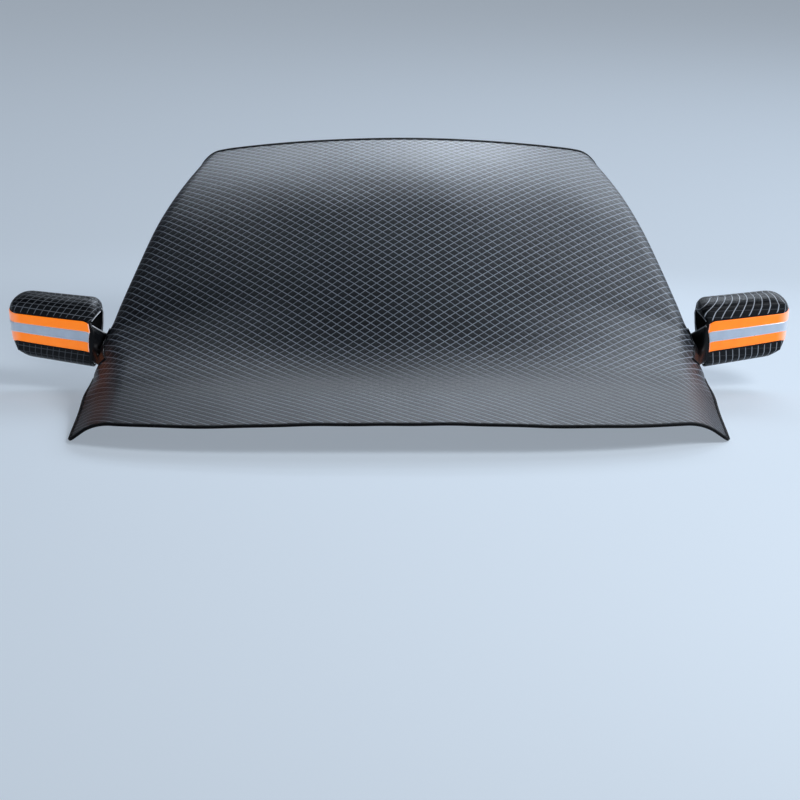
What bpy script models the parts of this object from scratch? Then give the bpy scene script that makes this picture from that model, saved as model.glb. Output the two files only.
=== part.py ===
"""Windscreen frost cover with two mirror pouches, shaped as it lies on a saloon's screen.

Metres, +Z up. X runs across the car and the bonnet is on the -Y side. The origin is on the
centreline, on the underside of the cloth, where the glass meets the bonnet.

The cloth is described by two running lengths: `t` goes up the centreline from the origin, and
`q` goes across, 0 to 1 over the crown, 1 to 2 round the bend at the pillar, 2 to 3 down the flank.
"""
from functools import lru_cache
from math import acos, asin, cos, pi, radians, sin, sqrt

import bmesh
import bpy
from mathutils import Euler, Matrix, Vector

# Cloth and clearances
CLOTH = 0.003
CLEAR = 0.0003
LAP_CLEAR = 0.0009
TAPE = 0.0009
SLOT_CLEAR = 0.0009
HEM_WIDTH = 0.009
EDGE_WIDTH = 0.006
EDGE_GAP = 0.0005

# Centreline: slopes, and the running lengths between which they change
APRON_SLOPE = radians(5.0)
FOOT_SLOPE = radians(30.0)
HEAD_SLOPE = radians(26.5)
ROOF_SLOPE = radians(9.5)
COWL_START = -0.13
GLASS_START = 0.24
ROOF_START = 0.68
ROOF_END = 1.18
SLOPE_STEP = 0.01

# Outline
HEM_REACH = 0.442
HEM_SWEEP = 0.155
HEM_CURVE = 4
HEM_CORNER = 0.022
TOP_REACH = 1.236
TOP_SWEEP = 0.05
TOP_CORNER = 0.20

# Cross-section
HALF_HEM = 0.866
HALF_GLASS = 0.845
HALF_HEAD = 0.594
HALF_BOW = 0.006
GLASS_FOOT = 0.20
FOOT_FLARE = 1.3
APRON_CROWN = 10.0
GLASS_CROWN = 2.9
WING_BEND = 0.14
PILLAR_BEND = 0.060
WING_TURN = radians(42.0)
PILLAR_TURN = radians(98.0)
FLANK = 0.05
WING_END = 0.0
PILLAR_START = 0.38

# Panel mesh
CROWN_COLUMNS = 8
BEND_COLUMNS = 7
FLANK_COLUMNS = 3
PANEL_ROWS = 40

# Mirror pouch, in its own frame: x outwards from the mouth, y back, z up
POUCH_LENGTH = 0.245
POUCH_DEPTH = 0.135
MOUTH_HEIGHT = 0.186
END_HEIGHT = 0.171
POUCH_INSET = 0.024
POUCH_DOME = 0.008
TOP_ROUND = 0.058
BOTTOM_ROUND = 0.060
MOUTH_ROUND = 0.028
END_LEAN = 0.24
SEAM_LIP = 0.006
SEAM_GAP = 0.0004
NOTCH = 0.014
NOTCH_PEAK = 0.3
NOTCH_SPAN = 0.7
BACK_CUT = 0.008
POUCH_T = 0.26
POUCH_OUT = 0.0062
POUCH_BACK = 0.402
POUCH_LIFT = 0.0275
POUCH_RISE = radians(6.2)
POUCH_SWEEP = radians(7.0)
POUCH_COLUMNS = 11
MOUTH_COLUMN = 0.045
POUCH_ROWS = 10
POUCH_RINGS = 4

# Neck between pouch and panel
NECK_ROWS = 9
NECK_COLUMNS = 3
NECK_LEAD = 0.006
LAP_COLUMNS = 2
LAP_START_Q = 1.57
LAP_FOOT_T = 0.18
LAP_ROW_STEPS = 2

# Reflective tapes and piping
ORANGE_ROWS = (2, 8)
SILVER_ROWS = (4, 6)
REFLECTOR_START = 1
REFLECTOR_RINGS = 3
REFLECTOR = 0.0006
PIPING = 0.0021
PIPING_CLEAR = 0.0008
LEAST_MITRE = 0.5
PIPING_SIDES = 8

SHARP_ANGLE = radians(40.0)

COLOURS = {
    "panel": ((0.045, 0.050, 0.060), 0.75),
    "pouch": ((0.040, 0.045, 0.055), 0.75),
    "binding": ((0.010, 0.011, 0.013), 0.65),
    "piping": ((0.300, 0.320, 0.350), 0.60),
    "orange": ((1.000, 0.240, 0.025), 0.35),
    "silver": ((0.450, 0.520, 0.620), 0.30),
}


def clamp(value):
    return min(max(value, 0.0), 1.0)


def ease(value):
    share = clamp(value)
    return share * share * (3.0 - 2.0 * share)


def mix(first, second, share):
    return first + (second - first) * share


def slope(t):
    """Slope of the centreline: level apron, steep glass, then over on to the roof edge."""
    rise = mix(APRON_SLOPE, FOOT_SLOPE, ease((t - COWL_START) / (GLASS_START - COWL_START)))
    glass = (FOOT_SLOPE - HEAD_SLOPE) * clamp((t - GLASS_START) / (ROOF_START - GLASS_START))
    roof = (HEAD_SLOPE - ROOF_SLOPE) * ease((t - ROOF_START) / (ROOF_END - ROOF_START))
    return rise - glass - roof


@lru_cache(maxsize=None)
def centreline(t):
    """Point of the cloth's middle layer on the centreline, summed in short steps from the origin."""
    steps = max(1, round(abs(t) / SLOPE_STEP))
    step = t / steps
    point = Vector((0.0, 0.0, CLOTH / 2.0))
    for index in range(steps):
        angle = slope((index + 0.5) * step)
        point += Vector((0.0, cos(angle), sin(angle))) * step
    return point


def half_width(t):
    """Half the cover's width: narrowing up the glass, and flaring out over the wings."""
    if t < GLASS_FOOT:
        up = clamp((t + HEM_REACH) / (GLASS_FOOT + HEM_REACH))
        return mix(HALF_HEM, HALF_GLASS, up ** FOOT_FLARE)
    up = (t - GLASS_FOOT) / (TOP_REACH - GLASS_FOOT)
    return mix(HALF_GLASS, HALF_HEAD, up) + HALF_BOW * 4.0 * up * (1.0 - up)


def section(t, q):
    """Sideways reach and drop below the crown of the cross-section at t."""
    pillar = ease((t - WING_END) / (PILLAR_START - WING_END))
    half = half_width(t)
    crown = 1.0 / mix(1.0 / APRON_CROWN, 1.0 / GLASS_CROWN, pillar)
    bend = mix(WING_BEND, PILLAR_BEND, pillar)
    turn = mix(WING_TURN, PILLAR_TURN, pillar)
    widest = bend * sin(min(turn, pi / 2.0)) + FLANK * max(cos(turn), 0.0)
    start = asin((half - widest) / (crown - bend))
    angle = start * min(q, 1.0) + (turn - start) * clamp(q - 1.0)
    if q <= 1.0:
        return crown * sin(angle), crown * (1.0 - cos(angle))
    straight = FLANK * clamp(q - 2.0)
    reach = crown * sin(start) + bend * (sin(angle) - sin(start)) + straight * cos(turn)
    drop = crown * (1.0 - cos(start)) + bend * (cos(start) - cos(angle)) + straight * sin(turn)
    return reach, drop


def drape(t, q, side):
    """Point of the cloth's middle layer; side is 1 on the right and -1 on the left."""
    reach, drop = section(t, q)
    angle = slope(t)
    return centreline(t) + Vector((side * reach, drop * sin(angle), -drop * cos(angle)))


def edge_distance(q):
    """Length of cloth from q out to the flank's edge, measured near the top of the cover."""
    bend_length = PILLAR_BEND * PILLAR_TURN
    flank_and_bend = FLANK * (1.0 - clamp(q - 2.0)) + bend_length * (1.0 - clamp(q - 1.0))
    return flank_and_bend + (HALF_HEAD - PILLAR_BEND) * (1.0 - clamp(q))


def hem_t(q):
    """Running length of the bottom hem, swept back towards its rounded corners."""
    reach, _ = section(-HEM_REACH, q)
    straight = -HEM_REACH + HEM_SWEEP * (reach / HALF_HEM) ** HEM_CURVE
    inside = HEM_CORNER - edge_distance(q)
    if inside <= 0.0:
        return straight
    return straight + HEM_CORNER - sqrt(HEM_CORNER ** 2 - inside ** 2)


def top_t(q):
    """Running length of the top edge, with a rounded corner that ends at the flank's edge."""
    reach, _ = section(TOP_REACH, q)
    straight = TOP_REACH + TOP_SWEEP * (reach / HALF_HEAD) ** 2
    inside = TOP_CORNER - edge_distance(q)
    if inside <= 0.0:
        return straight
    return straight - TOP_CORNER + sqrt(TOP_CORNER ** 2 - inside ** 2)


def half_columns():
    """Values of q from the centreline out to the edge of one flank."""
    crown = [index / CROWN_COLUMNS for index in range(CROWN_COLUMNS)]
    bend = [1.0 + index / BEND_COLUMNS for index in range(BEND_COLUMNS)]
    corner = acos(max(1.0 - FLANK / TOP_CORNER, 0.0))
    flank = [2.0]
    for index in range(FLANK_COLUMNS - 1, 0, -1):
        angle = corner * index / FLANK_COLUMNS
        flank.append(3.0 - TOP_CORNER / FLANK * (1.0 - cos(angle)))
    return crown + bend + flank + [3.0]


HALF_Q = half_columns()
MIDDLE = len(HALF_Q) - 1
LAST = 2 * MIDDLE


@lru_cache(maxsize=None)
def panel_point(column, row):
    """Panel point at a whole column and a row that may lie between two rows."""
    whole = int(row)
    if row != whole:
        return panel_point(column, whole).lerp(panel_point(column, whole + 1), row - whole)
    q = HALF_Q[abs(column - MIDDLE)]
    side = 1.0 if column >= MIDDLE else -1.0
    return drape(mix(hem_t(q), top_t(q), row / PANEL_ROWS), q, side)


def panel_normal(column, row):
    """Outward normal of the panel's mesh at a point of its grid."""
    across = panel_point(min(column + 1, LAST), row) - panel_point(max(column - 1, 0), row)
    along = panel_point(column, min(row + 1, PANEL_ROWS)) - panel_point(column, max(row - 1, 0))
    return across.cross(along).normalized()


def material(kind):
    """Plain shader of one kind of cloth, shared by the pieces that use it."""
    if kind in bpy.data.materials:
        return bpy.data.materials[kind]
    colour, roughness = COLOURS[kind]
    made = bpy.data.materials.new(kind)
    made.use_nodes = True
    shader = made.node_tree.nodes["Principled BSDF"]
    shader.inputs["Base Color"].default_value = (*colour, 1.0)
    shader.inputs["Roughness"].default_value = roughness
    shader.inputs["Metallic"].default_value = 0.0
    return made


def add_object(name, mesh, kind):
    """Turn a bmesh into a named object under the cover's empty."""
    bmesh.ops.recalc_face_normals(mesh, faces=mesh.faces)
    data = bpy.data.meshes.new(name)
    mesh.to_mesh(data)
    mesh.free()
    data.shade_smooth()
    data.set_sharp_from_angle(angle=SHARP_ANGLE)
    data.materials.append(material(kind))
    made = bpy.data.objects.new(name, data)
    bpy.context.scene.collection.objects.link(made)
    made.parent = bpy.data.objects["frost_cover"]
    return made


def thicken(made, thickness):
    """Give a single-surface cloth its thickness, half of it on each side."""
    solid = made.modifiers.new("thickness", "SOLIDIFY")
    solid.thickness = thickness
    solid.offset = 0.0
    solid.use_even_offset = True
    return made


def quads(mesh, rows):
    """Faces between each row of vertices and the next."""
    for first, second in zip(rows, rows[1:]):
        for index in range(len(first) - 1):
            mesh.faces.new((first[index], first[index + 1], second[index + 1], second[index]))


def sweep(name, rings, kind, cap):
    """Closed body through rings of points; cap lists the faces that close each end."""
    mesh = bmesh.new()
    loops = [[mesh.verts.new(point) for point in ring] for ring in rings]
    for first, second in zip(loops, loops[1:]):
        for index in range(len(first)):
            after = (index + 1) % len(first)
            mesh.faces.new((first[index], first[after], second[after], second[index]))
    for loop in (loops[0], loops[-1]):
        for face in cap:
            mesh.faces.new([loop[index] for index in face])
    return add_object(name, mesh, kind)


def tangents(path):
    """Direction of travel at each point of a path, halfway between its two stretches."""
    stretches = [(after - before).normalized() for before, after in zip(path, path[1:])]
    before = stretches[:1] + stretches
    after = stretches + stretches[-1:]
    return [(first + second).normalized() for first, second in zip(before, after)]


def folded_tape(name, cells, width):
    """Tape folded over an edge of the panel; the panel lies on the left of the path."""
    path = [panel_point(*cell) for cell in cells]
    normals = [panel_normal(*cell) for cell in cells]
    slot = CLOTH / 2.0 + SLOT_CLEAR
    outer = slot + TAPE
    fold = -EDGE_GAP - TAPE
    profile = (
        (width, slot), (width, outer), (fold, outer), (fold, -outer),
        (width, -outer), (width, -slot), (-EDGE_GAP, -slot), (-EDGE_GAP, slot),
    )
    rings = []
    for point, normal, travel in zip(path, normals, tangents(path)):
        inward = normal.cross(travel).normalized()
        rings.append([point + inward * depth + normal * height for depth, height in profile])
    sweep(name, rings, "binding", ((0, 1, 2, 7), (7, 2, 3, 6), (6, 3, 4, 5)))


def corner_spread(path, index):
    """How much further off a corner a parallel line turns, against its distance from a side."""
    if index in (0, len(path) - 1):
        return 1.0
    turn = (path[index] - path[index - 1]).angle(path[index + 1] - path[index])
    return 1.0 / max(cos(turn / 2.0), LEAST_MITRE)


def edge_frames(mesh, verts):
    """Points, normals and inward directions of the cloth at the vertices along its edge."""
    bmesh.ops.recalc_face_normals(mesh, faces=mesh.faces)
    mesh.normal_update()
    path = [vert.co.copy() for vert in verts]
    normals = [vert.normal.copy() for vert in verts]
    inwards = [normal.cross(travel).normalized() for normal, travel in zip(normals, tangents(path))]
    cloth = verts[0].link_faces[0].calc_center_median() - path[0]
    if inwards[0].dot(cloth) < 0.0:
        inwards = [-inward for inward in inwards]
    return path, normals, inwards


def piping_cord(name, path, normals, inwards):
    """Round piping laid along a cloth edge, just clear of it."""
    rings = []
    for index, (point, normal, inward) in enumerate(zip(path, normals, inwards)):
        centre = point - inward * (PIPING + PIPING_CLEAR) * corner_spread(path, index)
        ring = []
        for side in range(PIPING_SIDES):
            angle = 2.0 * pi * side / PIPING_SIDES
            ring.append(centre + (inward * cos(angle) + normal * sin(angle)) * PIPING)
        rings.append(ring)
    sweep(name, rings, "piping", (tuple(range(PIPING_SIDES)),))


def build_panel():
    """The one large cloth over the screen, with its apron and both flanks."""
    mesh = bmesh.new()
    rows = []
    for row in range(PANEL_ROWS + 1):
        rows.append([mesh.verts.new(panel_point(column, row)) for column in range(LAST + 1)])
    quads(mesh, rows)
    thicken(add_object("windscreen_panel", mesh, "panel"), CLOTH)


def build_bindings():
    """Tape over the bottom hem, and one tape up a flank, along the top and down the other."""
    folded_tape("hem_binding", [(column, 0) for column in range(LAST + 1)], HEM_WIDTH)
    rise = (panel_point(LAST, 1) - panel_point(LAST, 0)).length
    start = (HEM_WIDTH / 2.0 + EDGE_GAP) / rise
    right = [(LAST, start)] + [(LAST, row) for row in range(1, PANEL_ROWS)]
    top = [(column, PANEL_ROWS) for column in range(LAST, -1, -1)]
    left = [(0, row) for row in range(PANEL_ROWS - 1, 0, -1)] + [(0, start)]
    folded_tape("edge_binding", right + top + left, EDGE_WIDTH)


class Pouch:
    """One mirror pouch: two domed halves that meet at a seam round the mirror's edge."""

    def __init__(self, side):
        self.side = side
        self.hand = "right" if side > 0 else "left"
        turn = Euler((0.0, -POUCH_RISE, POUCH_SWEEP)).to_matrix()
        mouth = Vector((half_width(POUCH_T) + POUCH_OUT, POUCH_BACK, POUCH_LIFT))
        self.place = Matrix.Translation(mouth) @ turn.to_4x4()

    def world(self, x, y, z):
        """Point of the pouch's own frame in the cover's frame, mirrored for the left pouch."""
        lean = END_LEAN * z * (x / POUCH_LENGTH) ** 2
        point = self.place @ Vector((x + lean, y, z))
        return Vector((self.side * point.x, point.y, point.z))

    def half_height(self, x):
        return mix(MOUTH_HEIGHT, END_HEIGHT, x / POUCH_LENGTH) / 2.0

    def mouth_drop(self, x):
        """Drop of the upper edge where it rounds off into the mouth."""
        inside = clamp(1.0 - x / MOUTH_ROUND) * MOUTH_ROUND
        return MOUTH_ROUND - sqrt(MOUTH_ROUND ** 2 - inside ** 2)

    def column_share(self, column):
        """Share of the face's length at a column; the first column is a narrow one."""
        if column <= 1:
            return MOUTH_COLUMN * column
        return (column - 1) / (POUCH_COLUMNS - 1)

    def outline(self, row_share, column_share):
        """Seam outline for a point on the border of the face, both shares from 0 to 1."""
        end = POUCH_LENGTH
        if row_share in (0.0, 1.0):
            upper = row_share == 1.0
            rounding = TOP_ROUND if upper else BOTTOM_ROUND
            run = (end - rounding) + rounding * pi / 4.0
            travelled = column_share * run
            along = min(travelled, end - rounding)
            angle = max(travelled - (end - rounding), 0.0) / rounding
            x = along + rounding * sin(angle)
            z = self.half_height(x) - rounding * (1.0 - cos(angle))
            return x, z - self.mouth_drop(x) if upper else -z
        low = -self.half_height(end) + BOTTOM_ROUND
        high = self.half_height(end) - TOP_ROUND
        lower_arc = BOTTOM_ROUND * pi / 4.0
        upper_arc = TOP_ROUND * pi / 4.0
        travelled = row_share * (lower_arc + high - low + upper_arc)
        if travelled < lower_arc:
            angle = pi / 4.0 + travelled / BOTTOM_ROUND
            return end - BOTTOM_ROUND * (1.0 - sin(angle)), low - BOTTOM_ROUND * cos(angle)
        if travelled <= lower_arc + high - low:
            return end, low + travelled - lower_arc
        angle = (travelled - lower_arc - high + low) / TOP_ROUND
        return end - TOP_ROUND * (1.0 - cos(angle)), high + TOP_ROUND * sin(angle)

    def flat(self, row_share, column_share):
        """Point of the face's flat border or middle, before it is domed."""
        x = column_share * (POUCH_LENGTH - POUCH_INSET)
        half = self.half_height(x) - POUCH_INSET
        return x, mix(-half, half - self.mouth_drop(x), row_share)

    def mouth_shift(self, z, column_share, facing):
        """How far the mouth is cut back: above the neck at the front, all the way at the back."""
        fade = (1.0 - column_share) ** 3
        if facing > 0:
            return BACK_CUT * fade
        neck_top = self.flat(NECK_ROWS / POUCH_ROWS, 0.0)[1]
        mouth_top = self.half_height(0.0) - self.mouth_drop(0.0)
        height = (z - neck_top) / (mouth_top - neck_top)
        return NOTCH * fade * clamp(1.0 - abs(height - NOTCH_PEAK) / NOTCH_SPAN)

    def shell_point(self, row, column, ring, facing):
        """Point on one half; ring 0 is the face, the last ring is the seam's edge."""
        row_share = row / POUCH_ROWS
        column_share = self.column_share(column)
        x, z = self.flat(row_share, column_share)
        half_depth = POUCH_DEPTH / 2.0
        if ring == 0:
            across = 2.0 * row_share - 1.0
            swell = POUCH_DOME * (1.0 - across ** 2) * (1.0 - column_share ** 4)
            depth = half_depth + swell
        else:
            rim_x, rim_z = self.outline(row_share, column_share)
            angle = min(ring / POUCH_RINGS, 1.0) * pi / 2.0
            x = mix(x, rim_x, sin(angle))
            z = mix(z, rim_z, sin(angle))
            depth = SEAM_LIP + (half_depth - SEAM_LIP) * cos(angle)
        if ring > POUCH_RINGS:
            depth = SEAM_GAP / 2.0
        x += self.mouth_shift(z, column_share, facing)
        return self.world(x, facing * depth, z)

    def border(self):
        """Cells along the face's border, from the mouth's top round the end to its bottom."""
        upper = [(POUCH_ROWS, column) for column in range(POUCH_COLUMNS)]
        outer = [(row, POUCH_COLUMNS) for row in range(POUCH_ROWS, -1, -1)]
        lower = [(0, column) for column in range(POUCH_COLUMNS - 1, -1, -1)]
        return upper + outer + lower

    def shell(self, mesh, facing):
        """Face and rings of one half, with their vertices returned in rows."""
        face = []
        for row in range(POUCH_ROWS + 1):
            face.append([mesh.verts.new(self.shell_point(row, column, 0, facing))
                         for column in range(POUCH_COLUMNS + 1)])
        quads(mesh, face)
        rings = [[face[row][column] for row, column in self.border()]]
        for ring in range(1, POUCH_RINGS + 2):
            rings.append([mesh.verts.new(self.shell_point(row, column, ring, facing))
                          for row, column in self.border()])
        quads(mesh, rings)
        return face, rings

    def lap_cell(self, row, step):
        """Panel column and row under the lap; steps run from the lap's inner edge outwards."""
        first = min(range(len(HALF_Q)), key=lambda index: abs(HALF_Q[index] - LAP_START_Q))
        column = MIDDLE + int(self.side) * (first + step)
        q = HALF_Q[first]
        foot = (LAP_FOOT_T - hem_t(q)) / (top_t(q) - hem_t(q)) * PANEL_ROWS
        return column, (round(foot * LAP_ROW_STEPS) + row) / LAP_ROW_STEPS

    def lap_point(self, row, step):
        column, panel_row = self.lap_cell(row, step)
        return panel_point(column, panel_row) + panel_normal(column, panel_row) * (CLOTH + LAP_CLEAR)

    def neck_point(self, row, step):
        """Point of the neck; step 0 is the end of the lap and the last step is the mouth."""
        root = self.lap_point(row, LAP_COLUMNS)
        mouth = self.shell_point(row, 0, 0, -1)
        leave = (root - self.lap_point(row, LAP_COLUMNS - 1)).normalized() * NECK_LEAD
        arrive = (self.shell_point(row, 1, 0, -1) - mouth).normalized() * NECK_LEAD
        share = step / NECK_COLUMNS
        square = share * share
        cube = square * share
        return (root * (2.0 * cube - 3.0 * square + 1.0) + leave * (cube - 2.0 * square + share)
                + mouth * (3.0 * square - 2.0 * cube) + arrive * (cube - square))

    def build_front(self):
        """Front half, neck and lap, cut as one cloth."""
        mesh = bmesh.new()
        face, rings = self.shell(mesh, -1)
        columns = [[face[row][0] for row in range(NECK_ROWS + 1)]]
        for step in range(NECK_COLUMNS - 1, -1, -1):
            columns.append([mesh.verts.new(self.neck_point(row, step)) for row in range(NECK_ROWS + 1)])
        for step in range(LAP_COLUMNS - 1, -1, -1):
            columns.append([mesh.verts.new(self.lap_point(row, step)) for row in range(NECK_ROWS + 1)])
        quads(mesh, columns)
        mouth = [ring[0] for ring in rings[POUCH_RINGS - 1:0:-1]]
        mouth += [face[row][0] for row in range(POUCH_ROWS, NECK_ROWS - 1, -1)]
        neck_top = [column[NECK_ROWS] for column in columns[1:NECK_COLUMNS]]
        piping_cord("mouth_piping_" + self.hand, *edge_frames(mesh, mouth + neck_top))
        thicken(add_object("pouch_front_" + self.hand, mesh, "pouch"), CLOTH)

    def build_back(self):
        """Back half, behind the mirror."""
        mesh = bmesh.new()
        face, rings = self.shell(mesh, 1)
        mouth = [ring[0] for ring in rings[POUCH_RINGS - 1:0:-1]]
        mouth += [row[0] for row in reversed(face)]
        mouth += [ring[-1] for ring in rings[1:POUCH_RINGS]]
        piping_cord("back_piping_" + self.hand, *edge_frames(mesh, mouth))
        thicken(add_object("pouch_back_" + self.hand, mesh, "pouch"), CLOTH)

    def front_point(self, row, step):
        """Front point across the face, and past its last column round the outer end."""
        column = min(step, POUCH_COLUMNS)
        return self.shell_point(row, column, step - column, -1)

    def front_normal(self, row, step):
        """Outward normal of the front at a point given in the same way."""
        across = self.front_point(row, step + 1) - self.front_point(row, step - 1)
        upward = self.front_point(row + 1, step) - self.front_point(row - 1, step)
        return across.cross(upward).normalized() * self.side

    def build_reflector(self, kind, rows, level):
        """Strip of reflective tape along the front face; level counts the strips beneath it."""
        lift = CLOTH / 2.0 + CLEAR + REFLECTOR / 2.0 + level * (REFLECTOR + CLEAR)
        mesh = bmesh.new()
        strips = []
        steps = range(REFLECTOR_START, POUCH_COLUMNS + REFLECTOR_RINGS + 1)
        for row in range(rows[0], rows[1] + 1):
            strips.append([mesh.verts.new(self.front_point(row, step)
                                          + self.front_normal(row, step) * lift)
                           for step in steps])
        quads(mesh, strips)
        thicken(add_object("reflective_" + kind + "_" + self.hand, mesh, kind), REFLECTOR)

    def build(self):
        self.build_front()
        self.build_back()
        self.build_reflector("orange", ORANGE_ROWS, 0)
        self.build_reflector("silver", SILVER_ROWS, 1)


def main():
    for existing in list(bpy.data.objects):
        bpy.data.objects.remove(existing, do_unlink=True)
    bpy.context.scene.collection.objects.link(bpy.data.objects.new("frost_cover", None))
    build_panel()
    build_bindings()
    for side in (1, -1):
        Pouch(side).build()


main()
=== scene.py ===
"""Studio scene of a windscreen frost cover with two mirror pouches.

Metres, +Z up. X runs across the car and the bonnet is on the -Y side. The cloth is described by
`t`, the running length up its centreline, and by `q`, which goes from 0 to 1 over the crown, to 2
round the bend at the pillar and to 3 down the flank. A negative `q` is the left half.
"""
import logging
from dataclasses import dataclass, field
from enum import Enum
from math import cos, pi, radians, sin, sqrt

import bpy
import numpy as np
from mathutils import Euler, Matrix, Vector


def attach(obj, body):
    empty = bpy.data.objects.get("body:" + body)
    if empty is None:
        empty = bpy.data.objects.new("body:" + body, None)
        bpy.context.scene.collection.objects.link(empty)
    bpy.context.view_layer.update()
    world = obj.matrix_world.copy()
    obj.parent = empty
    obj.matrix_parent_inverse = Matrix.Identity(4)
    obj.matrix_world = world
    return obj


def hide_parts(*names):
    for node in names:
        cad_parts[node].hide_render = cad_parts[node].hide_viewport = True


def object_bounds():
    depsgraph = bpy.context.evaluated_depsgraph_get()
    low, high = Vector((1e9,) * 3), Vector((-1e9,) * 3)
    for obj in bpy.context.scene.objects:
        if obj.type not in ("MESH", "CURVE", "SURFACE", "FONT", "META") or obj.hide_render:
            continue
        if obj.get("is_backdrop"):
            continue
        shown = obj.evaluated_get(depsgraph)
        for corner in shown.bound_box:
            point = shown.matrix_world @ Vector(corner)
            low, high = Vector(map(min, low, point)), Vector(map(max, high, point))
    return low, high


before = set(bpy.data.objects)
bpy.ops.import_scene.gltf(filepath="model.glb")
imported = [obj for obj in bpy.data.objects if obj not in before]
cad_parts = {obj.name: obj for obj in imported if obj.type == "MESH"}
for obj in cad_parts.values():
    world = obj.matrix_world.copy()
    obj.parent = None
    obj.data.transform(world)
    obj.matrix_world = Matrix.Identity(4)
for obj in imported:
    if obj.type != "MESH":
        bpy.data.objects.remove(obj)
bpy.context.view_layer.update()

log = logging.getLogger("frost_cover")

EDGE_Q = 3.0
SHARP_ANGLE = radians(50.0)
FLOOR_GAP = 0.0005

Colour = tuple[float, float, float]
Place = tuple[float, float, float]
Shares = tuple[float, float]


class Side(Enum):
    """Side of the car, as seen from the front of it."""

    LEFT = -1
    RIGHT = 1

    @property
    def word(self) -> str:
        """Name of the side as it ends the names of the CAD nodes."""
        return self.name.lower()


class Half(Enum):
    """Half of a pouch; the value is its direction along the pouch's depth."""

    FRONT = -1
    BACK = 1

    @property
    def word(self) -> str:
        """Name of the half as it stands in the names of the CAD nodes."""
        return self.name.lower()


def clamp(value: np.ndarray) -> np.ndarray:
    """Values held between 0 and 1."""
    return np.clip(value, 0.0, 1.0)


def ease(value: np.ndarray) -> np.ndarray:
    """Smooth step from 0 to 1."""
    share = clamp(value)
    return share * share * (3.0 - 2.0 * share)


def mix(first: np.ndarray, second: np.ndarray, share: np.ndarray) -> np.ndarray:
    """Straight blend of two values."""
    return first + (second - first) * share


def unit(vectors: np.ndarray) -> np.ndarray:
    """Vectors scaled to length one along their last axis."""
    return vectors / np.maximum(np.linalg.norm(vectors, axis=-1, keepdims=True), 1e-12)


def travel(path: np.ndarray) -> np.ndarray:
    """Direction of travel at each point of a path, halfway between its two stretches.

    Args:
        path: points of the path.

    Returns:
        One unit vector per point.
    """
    stretches = unit(np.diff(path, axis=0))
    before = np.vstack([stretches[:1], stretches])
    after = np.vstack([stretches, stretches[-1:]])
    return unit(before + after)


def run_length(path: np.ndarray) -> np.ndarray:
    """Running length from the first point of a path to each of its points."""
    steps = np.linalg.norm(np.diff(path, axis=0), axis=1)
    return np.concatenate([[0.0], np.cumsum(steps)])


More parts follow.
